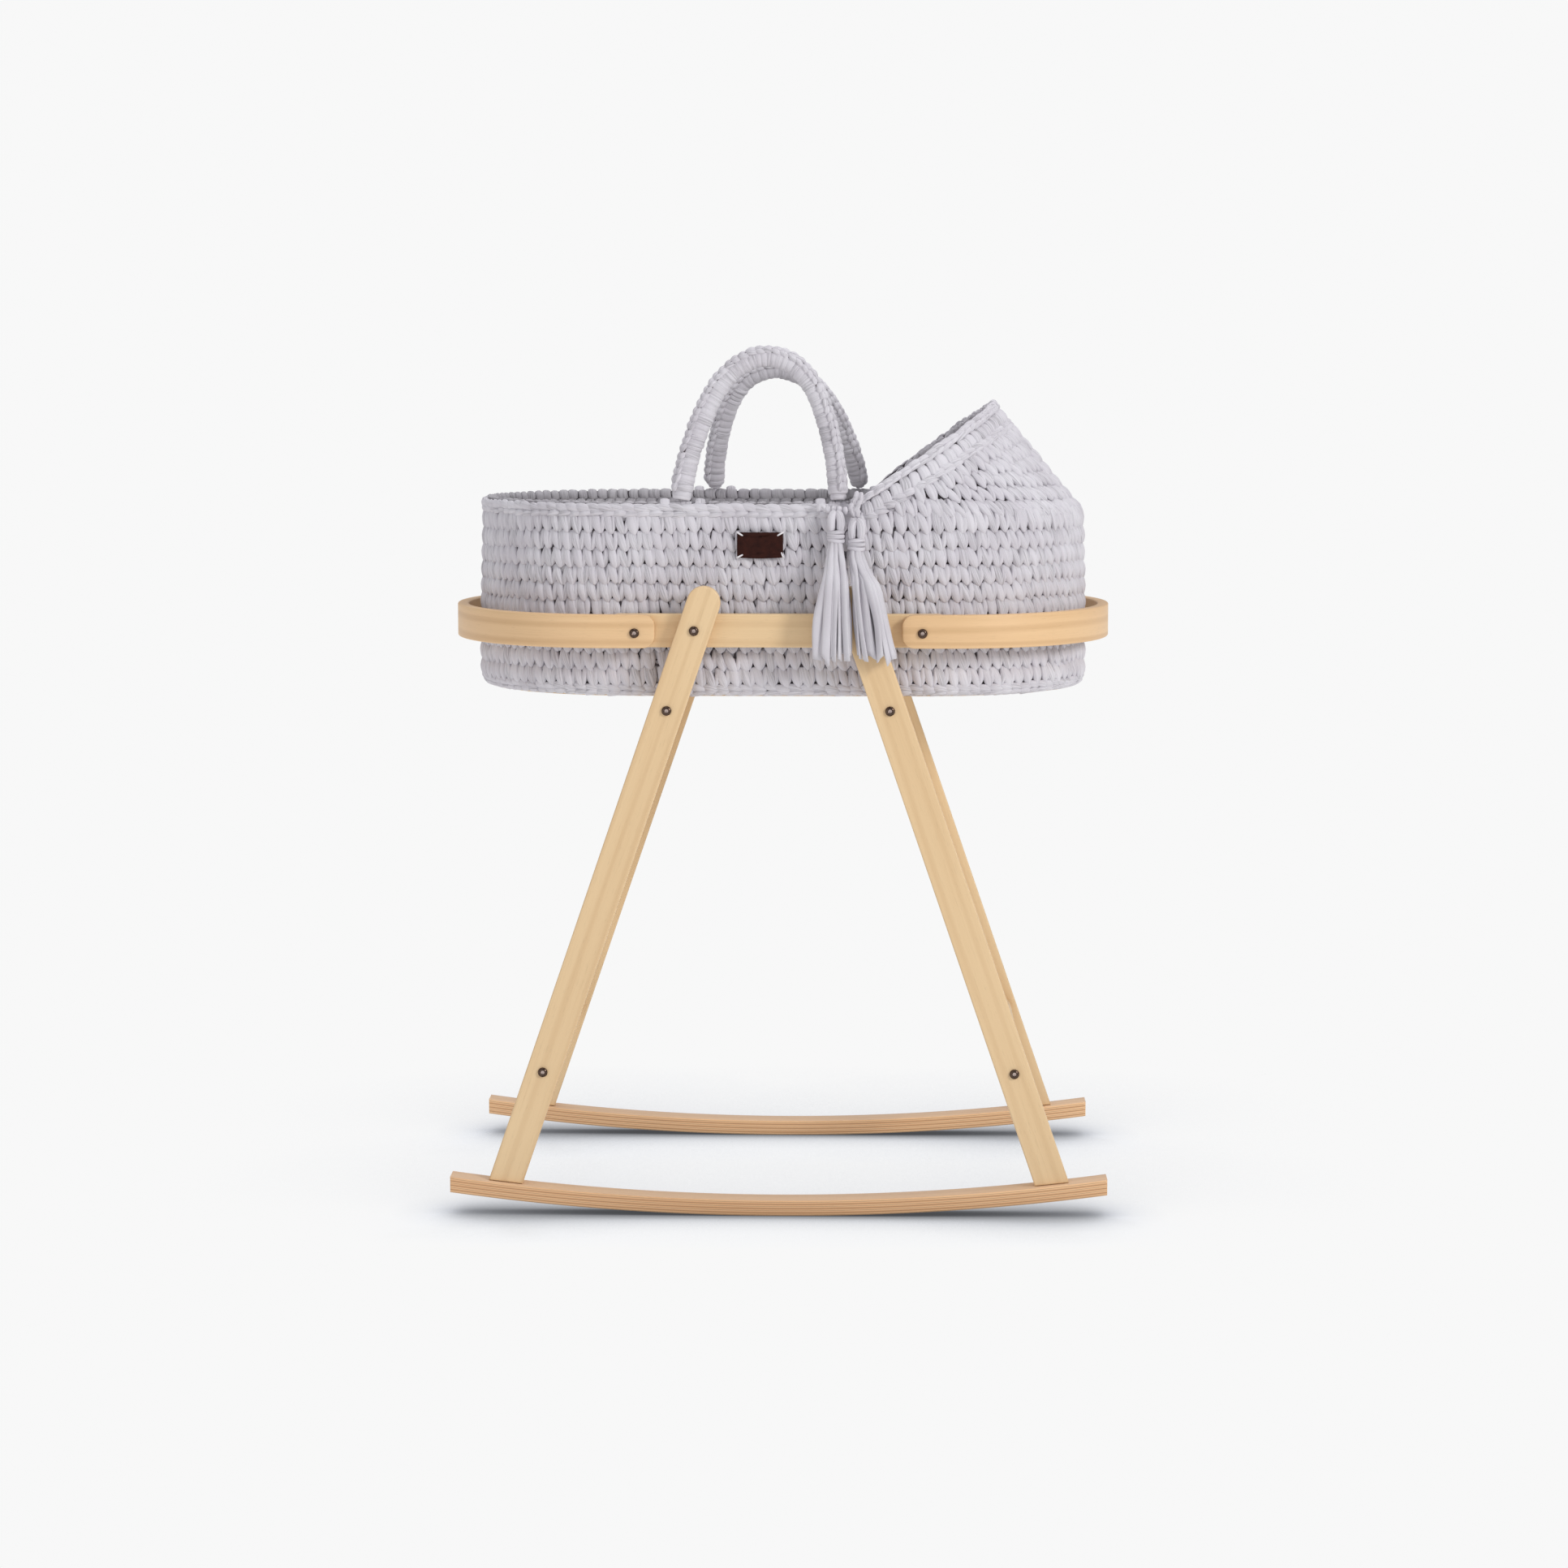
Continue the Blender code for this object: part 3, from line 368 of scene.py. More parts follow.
def cotton_material():
    """Brushed white cotton cover with a fine weave."""
    g = Graph("mattress_cotton")
    place = g.place()
    weave = g.value("MAXIMUM", *(g.wave(place, axis, 420.0, 1.5) for axis in ("X", "Y")))
    cloud = g.noise(place, 30.0, 3.0, 0.5)
    wrinkle = g.noise(g.vector("MULTIPLY", place, (9.0, 26.0, 9.0)), 1.0, 3.0, 0.5, 0.8)
    colour = g.ramp(cloud, (0.3, (0.80, 0.79, 0.76)), (0.7, (0.87, 0.86, 0.84)))
    normal = g.bump(wrinkle, 0.35, 0.004)
    normal = g.bump(weave, 0.3, 0.0003, normal)
    return g.finish(colour, normal, Roughness=0.9, Sheen_Weight=0.15)


def rope_material():
    g = Graph("core_rope")
    place = g.place()
    twist = g.wave(place, "DIAGONAL", 130.0, 0.6)
    colour = g.ramp(twist, (0.2, (0.50, 0.45, 0.38)), (0.8, (0.70, 0.66, 0.58)))
    return g.finish(colour, g.bump(twist, 0.5, 0.001), Roughness=0.92)


YARN = yarn_material("jersey_yarn", (0.700, 0.682, 0.722), (0.630, 0.604, 0.648))
YARN_SMOOTH = yarn_material("jersey_strip", (0.660, 0.642, 0.680), (0.605, 0.580, 0.620), creases=0.45)
# Painted shade: a near-black copy of the yarn, for the sheets, cores and strips that stand for the shade deep
# in the gaps between stitches.
YARN_PAINTED_SHADE = yarn_material("jersey_yarn_painted_shade", (0.13, 0.112, 0.120), (0.09, 0.078, 0.084))
# Painted shade: a darker copy of the yarn for the inside of the wall and the rim, which lie in the shade of
# the basket's opening.
YARN_SHADED_INSIDE = yarn_material("jersey_yarn_shaded_inside", (0.500, 0.483, 0.510), (0.445, 0.425, 0.455))
THREAD = yarn_material("tag_thread", (0.82, 0.80, 0.82), (0.76, 0.74, 0.77), creases=0.3)
BIRCH = wood_material("birch_board", (0.80, 0.590, 0.345), (0.735, 0.520, 0.290), (0.56, 0.345, 0.165))
BIRCH_BENT = wood_material("birch_bent", (0.81, 0.555, 0.310), (0.70, 0.445, 0.225), (0.50, 0.275, 0.115),
                           figure=0.34)
BIRCH_PLY = wood_material("birch_rocker", (0.92, 0.600, 0.335), (0.80, 0.495, 0.262), (0.55, 0.265, 0.112),
                          ply=True)
LEATHER = leather_material()
# Dark bronze bolts, with a painted reflection in the middle of each head.
BRONZE = metal_material("dark_bronze", (0.060, 0.040, 0.030), (0.16, 0.105, 0.080), 0.26,
                        painted_reflection=(0.50, 0.40, 0.36))
ZINC = metal_material("zinc_plate", (0.50, 0.50, 0.47), (0.66, 0.63, 0.55), 0.38)
COTTON = cotton_material()
ROPE = rope_material()


# ---------------------------------------------------------------- mesh building

class Soup:
    """Closed quad shells that become one mesh, with a vector attribute for each vertex."""

    def __init__(self, attribute="strand"):
        self.attribute = attribute
        self.verts, self.quads, self.values, self.count = [], [], [], 0

    def add(self, verts, quads, values):
        """verts and values are (..., 3); quads index one shell, which is repeated for each leading item."""
        size = verts.shape[-2]
        copies = verts.reshape(-1, size, 3)
        shift = self.count + size * np.arange(len(copies))
        self.verts.append(copies.reshape(-1, 3))
        self.values.append(np.broadcast_to(values, copies.shape).reshape(-1, 3))
        self.quads.append((quads[None] + shift[:, None, None]).reshape(-1, 4))
        self.count += size * len(copies)

    def shell(self, points, quads, values=(0.0, 0.0, 0.0)):
        """Add one shell whose points are in a grid."""
        self.add(points.reshape(-1, 3), quads, np.broadcast_to(values, points.shape).reshape(-1, 3))

    def build(self, name, material, body, slot):
        verts, quads = np.concatenate(self.verts), np.concatenate(self.quads)
        mesh = bpy.data.meshes.new(name)
        mesh.vertices.add(len(verts))
        mesh.vertices.foreach_set("co", (verts + (0, MID_Y, 0)).astype(np.float32).ravel())
        mesh.loops.add(quads.size)
        mesh.loops.foreach_set("vertex_index", quads.astype(np.int32).ravel())
        mesh.polygons.add(len(quads))
        mesh.polygons.foreach_set("loop_start", np.arange(0, quads.size, 4, dtype=np.int32))
        mesh.update(calc_edges=True)
        values = mesh.attributes.new(self.attribute, "FLOAT_VECTOR", "POINT")
        values.data.foreach_set("vector", np.concatenate(self.values).astype(np.float32).ravel())
        mesh.shade_smooth()
        mesh.materials.append(material)
        made = add_object(name, mesh)
        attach(made, body)
        return made


def tube_quads(rings, sides, closed=False):
    """Quads of a tube whose vertices run ring by ring; the open ends are closed with strips of quads."""
    quads = []
    for k in range(rings if closed else rings - 1):
        for i in range(sides):
            j = (i + 1) % sides
            k2 = (k + 1) % rings
            quads.append((k * sides + i, k * sides + j, k2 * sides + j, k2 * sides + i))
    if not closed:
        last = (rings - 1) * sides
        for i in range(sides // 2 - 1):
            quads.append((i, sides - 1 - i, sides - 2 - i, i + 1))
            quads.append((last + i, last + i + 1, last + sides - 2 - i, last + sides - 1 - i))
    return np.array(quads)


# A lobe of yarn: how its width, thickness and height above the row change from its root to its tip
LOBE_T = (0.0, 0.06, 0.20, 0.38, 0.56, 0.74, 0.88, 0.96, 1.0)
LOBE_WIDTH = (0.62, 0.76, 0.90, 1.0, 1.0, 0.88, 0.64, 0.42, 0.20)
LOBE_THICK = (0.35, 0.55, 0.80, 0.97, 1.0, 0.86, 0.66, 0.48, 0.28)
BEAN_WIDTH = (0.45, 0.80, 0.97, 1.0, 1.0, 1.0, 0.92, 0.76, 0.42)
JITTER = (0.0004, 0.0005, 0.0003)      # a stitch's scatter across the row, up it and out of it


def lobe(root, tip, width, thick, bow, heights, sections=9, sides=12, shape=LOBE_WIDTH, roll=0.0,
         grooves=0.0, phase=0.0):
    """One lobe as (a, b, c) points: across the row, up it and out of it, with strand values for its surface.

    heights are how far its middle stands out at the root, half way and the tip, and roll turns it about its
    length.
    """
    t = np.linspace(0, 1, sections) if sections != len(LOBE_T) else np.array(LOBE_T)
    w = np.interp(t, LOBE_T, shape) * width / 2
    e = np.interp(t, LOBE_T, LOBE_THICK) * thick / 2
    root, tip = np.array(root), np.array(tip)
    along = tip - root
    length = np.hypot(*along)
    along = along / length
    side = np.array((-along[1], along[0]))
    if side[0] < 0:
        side = -side
    middle = root + np.outer(t, tip - root) + np.outer(bow * np.sin(PI * t), side)
    out = np.interp(t, (0, 0.5, 1), heights)
    turn = circle(sides, 0.5)
    x, y = np.cos(turn), np.sin(turn)
    ridge = 1 - grooves * (np.cos(x * 5.2 + phase) ** 2) * (y > 0)
    x, y = np.sign(x) * np.abs(x) ** 0.85, np.sign(y) * np.abs(y) ** 0.9 * ridge
    across = w[:, None] * x * math.cos(roll) - e[:, None] * y * math.sin(roll)
    up = w[:, None] * x * math.sin(roll) + e[:, None] * y * math.cos(roll)
    points = np.empty((sections, sides, 3))
    points[..., 0] = middle[:, :1] + across * side[0]
    points[..., 1] = middle[:, 1:] + across * side[1]
    points[..., 2] = out[:, None] + up
    strand = strand_of(points, x, (t * length)[:, None], 0.0)
    return points.reshape(-1, 3), strand.reshape(-1, 3), tube_quads(sections, sides)


def stitch_rows(soup, rng, mapper, places, kinds, jitter=JITTER, turn=0.06, size=0.07):
    """Lay lobes on a surface: places are (u, v) for each stitch, and each of kinds is a tuple of lobes.

    mapper turns (place, a, b, c) into points, and a random variant is drawn for each stitch.
    """
    places = np.asarray(places)
    picks = rng.integers(0, len(kinds), len(places))
    for k, kind in enumerate(kinds):
        chosen = places[picks == k]
        if not len(chosen):
            continue
        for points, strand, quads in kind:
            n = len(chosen)
            shift = rng.normal(0, 1, (n, 1, 3)) * jitter
            angle = rng.normal(0, turn, (n, 1))
            scale = 1 + rng.normal(0, size, (n, 1))
            a = points[None, :, 0] * scale
            b = points[None, :, 1]
            c = points[None, :, 2] * (1 + (scale - 1) * 0.5)
            cos, sin = np.cos(angle), np.sin(angle)
            a, b = a * cos - b * sin, a * sin + b * cos
            world = mapper(chosen, a + shift[..., 0], b + shift[..., 1], c + shift[..., 2])
            value = np.repeat(strand[None], n, 0)
            value[..., 2] = rng.random((n, 1))
            soup.add(world, quads, value)


# ---------------------------------------------------------------- surfaces of the basket

def wall_inset(z):
    """How far the wall's face stands inside its widest outline at height z."""
    rise = np.clip(np.asarray(z) - BASKET_BOTTOM, 0, None)
    low = FOOT_INSET * (1 - np.sqrt(np.clip(1 - (1 - rise / FOOT_ROUND) ** 2, 0, 1)))
    high = TOP_INSET * ((rise - FOOT_ROUND) / (WALL_TOP - BASKET_BOTTOM - FOOT_ROUND)) ** 2
    return np.where(rise < FOOT_ROUND, low, high)


ROUND_LENGTH = PI * HALF_W
OUTLINE_U = np.cumsum((0, END_X, ROUND_LENGTH, 2 * END_X, ROUND_LENGTH, END_X))


def outline(u):
    """Middle line x and outward direction at distance u round the basket, from the middle of its far side."""
    u = np.mod(u, STADIUM)
    x = np.interp(u, OUTLINE_U, (0, -END_X, -END_X, END_X, END_X, 0))
    turn = np.interp(u, OUTLINE_U, (PI / 2, PI / 2, 1.5 * PI, 1.5 * PI, 2.5 * PI, 2.5 * PI))
    return x, np.cos(turn), np.sin(turn)


def near_u(x):
    """Distance round the basket of a point on its near side."""
    return OUTLINE_U[2] + x + END_X


def wall_point(u, z, out):
    """A point of the wall: out is metres outside the CAD wall's outer face, negative inside it."""
    x, nx, ny = outline(u)
    reach = HALF_W - wall_inset(z) + out
    return np.stack(np.broadcast_arrays(x + nx * reach, ny * reach, z), -1)


def wall_map(places, a, b, c):
    return wall_point(places[:, :1] + a, places[:, 1:2] + b, c)


HOOD_ARC = (3 / 26, 23 / 26)       # the share of the hood's lower edge that follows the basket's round end


def hood_low(s):
    """Lower edge of the hood at fraction s from its near corner to its far one."""
    reach = HALF_W - TOP_INSET
    x = np.interp(s, (0, *HOOD_ARC, 1), (HOOD_X - HOOD_SKEW, END_X, END_X, HOOD_X + HOOD_SKEW))
    turn = np.interp(s, HOOD_ARC, (-PI / 2, PI / 2))
    return np.stack((x + reach * np.cos(turn), reach * np.sin(turn), np.full_like(x, WALL_TOP + 0.0003)), -1)


def hood_high(s):
    """The hood's opening at the same fraction s."""
    y = -HOOD_HALF * np.cos(PI * s)
    x = HOOD_X + HOOD_SKEW * y / HOOD_HALF
    rise = np.sin(PI * s)
    return np.stack((x + (HOOD_TOP[0] - x) * rise, y, HOOD_Z + (HOOD_TOP[1] - HOOD_Z) * rise), -1)


def hood_point(s, h, out):
    """A point of the hood: h is 0 at the rim and 1 at the opening, out is metres outside the CAD hood."""
    s, h, out = np.broadcast_arrays(s, h, out)
    step = 0.002

    def face(s, h):
        s_in = np.clip(s, 0, 1)
        return hood_low(s_in) * (1 - h[..., None]) + hood_high(s_in) * h[..., None]

    here = face(s, h)
    ds = face(s + step, h) - face(s - step, h)
    dh = face(s, h + step) - face(s, h - step)
    normal = np.cross(ds, dh)
    normal /= np.linalg.norm(normal, axis=-1, keepdims=True) + 1e-12
    return here + normal * out[..., None]


def hood_length(s):
    return np.linalg.norm(hood_high(s) - hood_low(s), axis=-1)


def hood_speed(s, h):
    """Metres along the hood's row at height h for each unit of s."""
    low, high = np.clip(s - 0.004, 0, 1), np.clip(s + 0.004, 0, 1)
    return np.linalg.norm(hood_point(high, h, 0.0) - hood_point(low, h, 0.0), axis=-1) / (high - low)


def hood_map(places, a, b, c):
    """places are (s, h): a runs along the row in metres, b up the ruling in metres."""
    s, h = places[:, :1], places[:, 1:2]
    speed = hood_speed(s, h)
    return hood_point(s + a / speed, h + b / hood_length(s), c)


def hood_columns(count, h):
    """Fractions s that are evenly spaced along the hood at height h, and the length of its row."""
    fine = np.linspace(0, 1, 801)
    run = run_length(hood_point(fine, h, 0.0))
    return np.interp((np.arange(count) + 0.5) / count * run[-1], run, fine), run[-1]


# ---------------------------------------------------------------- stitches

def mm(*values):
    return tuple(v / 1000 for v in values)


def tulip(rng, size=1.0, height=1.0, lean=WALL_LEAN):
    """A wall stitch: a wide left lobe and a narrow right one that run down to a point at the origin."""
    j = rng.normal(0, 1, 10)
    top = (25.0 + j[0] * 0.4) * height
    wide = lobe(mm((-5.3 + j[1] * 0.3) * size - top * lean, top), mm(-0.4, -0.2 * height),
                (11.4 + j[2] * 0.5) * size / 1000, 0.0086, (-0.4 + j[3] * 0.3) / 1000 * size,
                mm(-5.2, -3.1, -2.9), grooves=0.10, phase=j[4])
    narrow = lobe(mm((5.6 + j[5] * 0.3) * size - top * lean, top - 0.5), mm(1.0, 0.8),
                  (8.0 + j[6] * 0.4) * size / 1000, 0.0074, (1.1 + j[7] * 0.3) / 1000 * size,
                  mm(-5.6, -3.7, -3.9), grooves=0.08, phase=j[8])
    return wide, narrow


def bean(rng, width, length, thick, rise=0.0, roll=0.0, bow=0.0, sections=7, sides=8):
    """A short upright lump with its middle at the origin."""
    j = rng.normal(0, 1, 4)
    return (lobe(mm(j[0] * 0.4 - bow / 2, length / 2), mm(j[1] * 0.4 - bow / 2, -length / 2),
                 (width + j[2] * 0.4) / 1000, thick / 1000, (bow + j[3] * 0.3) / 1000,
                 mm(rise - 0.8, rise, rise - 0.8), sections, sides, BEAN_WIDTH, roll),)


def vee(rng, pitch, widths, splits, lengths, thick, base):
    """A chain link, in millimetres: two lobes that run down to a tip at the origin.

    widths, splits (each lobe's root from the middle line) and lengths (in pitches) are for the lobe on the
    a < 0 side and then for the other one.
    """
    j = rng.normal(0, 1, 8)
    lobes = []
    for k, side in enumerate((-1, 1)):
        root, tip = mm(side * (splits[k] + j[k] * 0.2), pitch * lengths[k]), mm(side * widths[k] * 0.16, -0.4)
        width, bow = mm(widths[k] + j[2 + k] * 0.25, widths[k] * 0.12)
        heights = mm(base - thick * 0.40, base, base - thick * 0.15)
        lobes.append(lobe(root, tip, width, thick / 1000, bow, heights, 8, 10, grooves=0.08, phase=j[4 + k]))
    return tuple(lobes)


def variants(rng, make, **settings):
    return [make(rng, **settings) for _ in range(8)]


# ---------------------------------------------------------------- basket

def wall_rows():
    pitch = STADIUM / COLUMNS
    for row in range(ROWS):
        name = f"wall_row_{row + 1:02d}"
        rng = rng_for(name)
        soup = Soup()
        tip_z = WALL_TOP - 0.0010 - ROW_H * (row + 1)
        drift = WALL_LEAN * ROW_H * (row + 1)
        u = near_u(0) + drift + pitch * np.arange(COLUMNS) + rng.normal(0, 0.0003, COLUMNS)
        kinds = variants(rng, tulip, size=pitch / STITCH, height=1.10 if row == 0 else 1.0)
        z = tip_z + 0.0006 * np.sin(u * 31 + row) + rng.normal(0, 0.0002, COLUMNS)
        stitch_rows(soup, rng, wall_map, np.stack((u, z), 1), kinds)
        soup.build(name, YARN, "basket", "yarn")
    rng = rng_for("inside")
    tall = variants(rng, bean, width=15.4, length=16.0, thick=7.0, rise=-8.0, roll=0.12, bow=2.4)
    short = variants(rng, bean, width=15.0, length=10.0, thick=6.4, rise=-8.2, roll=-0.08)
    for row in range(ROWS):
        if row % (ROWS // 2) == 0:
            inside = Soup()
        u = near_u(0) + pitch * np.arange(COLUMNS) - WALL_LEAN * ROW_H * row
        top = WALL_TOP + 0.005 - ROW_H * row
        for kinds, drop in ((tall, 0.0062), (short, 0.0164)):
            places = np.stack((u, np.full(COLUMNS, top - drop)), 1)
            stitch_rows(inside, rng, wall_map, places, kinds)
            u = u + pitch / 2
        if row % (ROWS // 2) == ROWS // 2 - 1:
            # The inside rows take the darker yarn as painted shade.
            inside.build(f"wall_inside_{row + 1:02d}", YARN_SHADED_INSIDE, "basket", "yarn")


def sheet(outside, inside, closed):
    """A thin slab between two grids of points, rows up by columns along; closed joins its ends."""
    rings = np.concatenate((outside, inside[::-1]), 0)
    rows, columns = rings.shape[:2]
    return np.swapaxes(rings, 0, 1), tube_quads(columns, rows, closed)


def wall_backing():
    """A sheet behind the stitches, painted dark as the shade deep in the small gaps between them, which is
    the only place it shows.
    """
    soup = Soup()
    u = np.linspace(0, STADIUM, 180, endpoint=False)
    z = np.linspace(BASKET_BOTTOM + 0.0035, WALL_TOP + 0.004, 12)
    outside = np.stack([wall_point(u, h, -0.0062 if h > BASKET_BOTTOM + 0.01 else -0.0045) for h in z])
    inside = np.stack([wall_point(u, h, -0.0072) for h in z])
    soup.shell(*sheet(outside, inside, closed=True))
    made = soup.build("wall_backing", YARN_PAINTED_SHADE, "basket", "yarn")
    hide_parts("basket_wall")


def bottom_chain():
    """The chained round that turns the wall under, and the round of loops that holds the board."""
    rng = rng_for("bottom_chain")
    soup = Soup()
    link = variants(rng, vee, pitch=STITCH * 1000, widths=(7.6, 9.2), splits=(3.7, 5.6), lengths=(1.5, 1.6),
                    thick=7.0, base=-3.2)

    def along(places, a, b, c):
        """The links point along the outline: b runs back along it and a up it."""
        tuck = 0.4 * np.clip(-a - 0.003, 0, None)
        return wall_point(places[:, :1] - b, BASKET_BOTTOM + 0.0060 + a, c - tuck)

    places = np.stack((STADIUM / COLUMNS * np.arange(COLUMNS), np.zeros(COLUMNS)), 1)
    stitch_rows(soup, rng, along, places, link, size=0.03, turn=0.02)

    def under(places, a, b, c):
        """Lumps on the wall's lower face; b runs inwards."""
        x, nx, ny = outline(places[:, :1] + a)
        reach = HALF_W - 0.0110 + b
        return np.stack((x + nx * reach, ny * reach, BASKET_BOTTOM + 0.0002 - c + 0 * reach), -1)

    loops = variants(rng, bean, width=14.5, length=10.5, thick=4.6, rise=-2.6)
    stitch_rows(soup, rng, under, places, loops, jitter=(0.0003, 0.0003, 0.0), size=0.04)
    soup.build("bottom_chain", YARN, "basket", "yarn")


RIM_START = near_u(HOOD_X - HOOD_SKEW)
RIM_RUN = RIM_START + (HOOD_X + HOOD_SKEW)
RIM_R = 0.0086                 # half the height of the rim's section


def rim_point(u, angle, out):
    """Round the rim's section: angle 0 faces out and 90 degrees up."""
    x, nx, ny = outline(u)
    reach = HALF_W - TOP_INSET - 0.0055 + np.cos(angle) * (0.0058 + out)
    z = (WALL_TOP + RIM_TOP) / 2 + np.sin(angle) * (RIM_R + out)
    return np.stack(np.broadcast_arrays(x + nx * reach, ny * reach, z), -1)


def rim():
    rng = rng_for("rim")
    count = round(RIM_RUN / STITCH)
    outside, inside, core = Soup(), Soup(), Soup()
    link = variants(rng, vee, pitch=STITCH * 1000, widths=(8.2, 12.0), splits=(3.9, 9.0), lengths=(1.5, 2.1),
                    thick=7.2, base=-1.8)
    places = np.stack((RIM_START - 0.004 - RIM_RUN / count * np.arange(count), np.zeros(count)), 1)

    def chain(places, a, b, c):
        """Links point towards the head on the near side, and their lower lobes lie flat against the wall."""
        angle = a / RIM_R - math.radians(34)
        points = rim_point(places[:, :1] - b, np.maximum(angle, 0), c)
        points[..., 2] += RIM_R * np.minimum(angle, 0)
        return points

    stitch_rows(outside, rng, chain, places, link, size=0.04, turn=0.03)
    lumps = variants(rng, bean, width=15.8, length=21.0, thick=6.8, rise=-1.5, roll=0.10, bow=3.2)

    def inner(places, a, b, c):
        return rim_point(places[:, :1] + a, PI - math.radians(20) - b / 0.0085, c)

    stitch_rows(inside, rng, inner, places, lumps, size=0.05)
    first = outside.build("rim_chain", YARN, "basket", "yarn")
    # The rim's inner lumps take the darker yarn as painted shade.
    inside.build("rim_inside", YARN_SHADED_INSIDE, "basket", "yarn")
    # The rim's core is painted dark as the shade in the gaps between its stitches.
    u = RIM_START - np.linspace(0.002, RIM_RUN - 0.002, 120)
    turn = circle(12)
    core.shell(rim_point(u[:, None], turn[None], -0.0032), tube_quads(len(u), len(turn))[:, ::-1])
    core.build("rim_core", YARN_PAINTED_SHADE, "basket", "yarn")
    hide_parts("rim_braid")


def hood():
    rng = rng_for("hood")
    s, _ = hood_columns(HOOD_COLUMNS, 0.45)
    length = hood_length(s)
    first = hood_stitches(rng, s, length)
    second = hood_band(rng)

    inside = Soup()
    lumps = variants(rng, bean, width=15.4, length=13.5, thick=6.4, rise=-8.3, roll=0.12, bow=2.0)
    spots = []
    for k in range(HOOD_COLUMNS):
        steps = max(int(length[k] / 0.0125), 1)
        spots += [(s[k], (i + 0.5) / steps) for i in range(steps)]
    stitch_rows(inside, rng, hood_map, spots, lumps)
    inside.build("hood_inside", YARN, "basket", "yarn")

    # A backing sheet painted dark as the shade in the gaps between the hood's stitches.
    backing = Soup()
    s_fine, h_fine = np.linspace(0.0, 1.0, 90)[None], np.linspace(-0.02, 0.985, 10)[:, None]
    faces = (hood_point(s_fine, h_fine, depth) for depth in (-0.0062, -0.0074))
    backing.shell(*sheet(*faces, closed=False))
    backing.build("hood_backing", YARN_PAINTED_SHADE, "basket", "yarn")
    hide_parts("hood_shell")
    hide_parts("hood_edge_band")


def hood_stitches(rng, s, length):
    """Rows parallel to the edge band above and the rim below, in columns at s. The lowest row comes last."""
    outside = Soup()
    free = length - BAND_W + 0.004
    rows = np.maximum(np.round(free / ROW_H), 0).astype(int)
    kinds = variants(rng, tulip, size=1.0, height=1.0, lean=0.10)
    places = np.array([(s[k], (i * free[k] / rows[k] - 0.0005) / length[k], i)
                       for k in range(len(s)) for i in range(rows[k])])
    places = places[np.argsort(-places[:, 2], kind="stable"), :2]
    column = np.median(np.diff(s))

    def mapper(chosen, a, b, c):
        """Stitches narrow as the columns run together."""
        spread = hood_speed(chosen[:, :1], chosen[:, 1:2] + 0.05) * column / STITCH
        return hood_map(chosen, a * spread, b, c)

    stitch_rows(outside, rng, mapper, places, kinds)
    return outside.build("hood_stitches", YARN, "basket", "yarn")


def hood_band(rng):
    """The edge band: two chains with a row of stitches between them."""
    band = Soup()
    s, run = hood_columns(BAND_COLUMNS, 1.0)
    scale = run / BAND_COLUMNS / STITCH
    places = np.stack((s, np.zeros_like(s)), 1)

    def chain_at(from_edge, lift):
        def place(chosen, a, b, c):
            at = chosen[:, :1]
            h = 1 - (from_edge - a) / hood_length(at)
            speed = hood_speed(at, np.clip(h[:, :1], 0, 1))
            return hood_point(at - b / speed, h, c + lift)
        return place

    link = variants(rng, vee, pitch=STITCH * 1000 * scale, widths=(7.6, 7.8), splits=(4.0, 4.2),
                    lengths=(1.6, 1.6), thick=7.0, base=-3.0)
    for from_edge, lift in ((0.0060, 0.0014), (0.0340, 0.0003)):
        stitch_rows(band, rng, chain_at(from_edge, lift), places, link, size=0.04, turn=0.03)
    leaf = variants(rng, bean, width=15.2, length=20.0, thick=7.6, rise=-3.4, roll=0.10, bow=1.2, sections=9,
                    sides=12)

    def leaves(chosen, a, b, c):
        at = chosen[:, :1]
        h = 1 - (0.0198 - b) / hood_length(at)
        return hood_point(at + (a * scale - 0.15 * b) / hood_speed(at, np.clip(h[:, :1], 0, 1)), h, c)

    stitch_rows(band, rng, leaves, places, leaf, size=0.05)
    return band.build("hood_band", YARN, "basket", "yarn")


# ---------------------------------------------------------------- handles

def arch(spec):
    """A handle's middle line: a function that gives the point at a distance along it, the outward normal, the
    crosswise direction and the tangent, and the line's length."""
    side, lean = spec["side"], math.radians(spec["lean"])
    along = np.array((1.0, 0, 0))
    up = np.array((0, -side * math.sin(lean), math.cos(lean)))
    base = np.array((spec["x"], side * HANDLE_Y, HINGE_Z))
    turn = np.linspace(0, PI, 401)
    rise, level = np.sin(turn), np.cos(turn)
    reach = HANDLE_SPAN * level * (1 - HANDLE_PINCH * rise * level ** 2)
    line = np.stack((spec["sway"] * rise - reach, spec["rise"] * rise), -1)
    run = run_length(line)
    slope = unit(np.gradient(line, run, axis=0))

    def at(distance):
        inside = np.clip(distance, 0, run[-1])
        x, z, tx, tz = (np.interp(inside, run, column)[..., None] for column in (*line.T, *slope.T))
        tangent = tx * along + tz * up
        middle = base + x * along + z * up + tangent * (distance - inside)[..., None]
        return middle, tx * up - tz * along, np.broadcast_to(np.cross(along, up), middle.shape), tangent

    return at, run[-1]


def past_ends(distance, length):
    """How far a distance along a handle lies beyond either end of it."""
    return np.maximum(np.maximum(-distance, distance - length), 0)


def round_arch(normal, across, angle):
    """Direction from the handle's middle line at an angle round it."""
    return normal * np.cos(angle)[..., None] + across * np.sin(angle)[..., None]


def handle(label, spec):
    rng = rng_for("handle" + label)
    at, length = arch(spec)
    handle_sleeve(label, at, length)
    handle_bands(label, rng, at, length)
    handle_chain(label, rng, at, length, spec["chain"])
    dress(f"handle_{label}_core", ROPE)


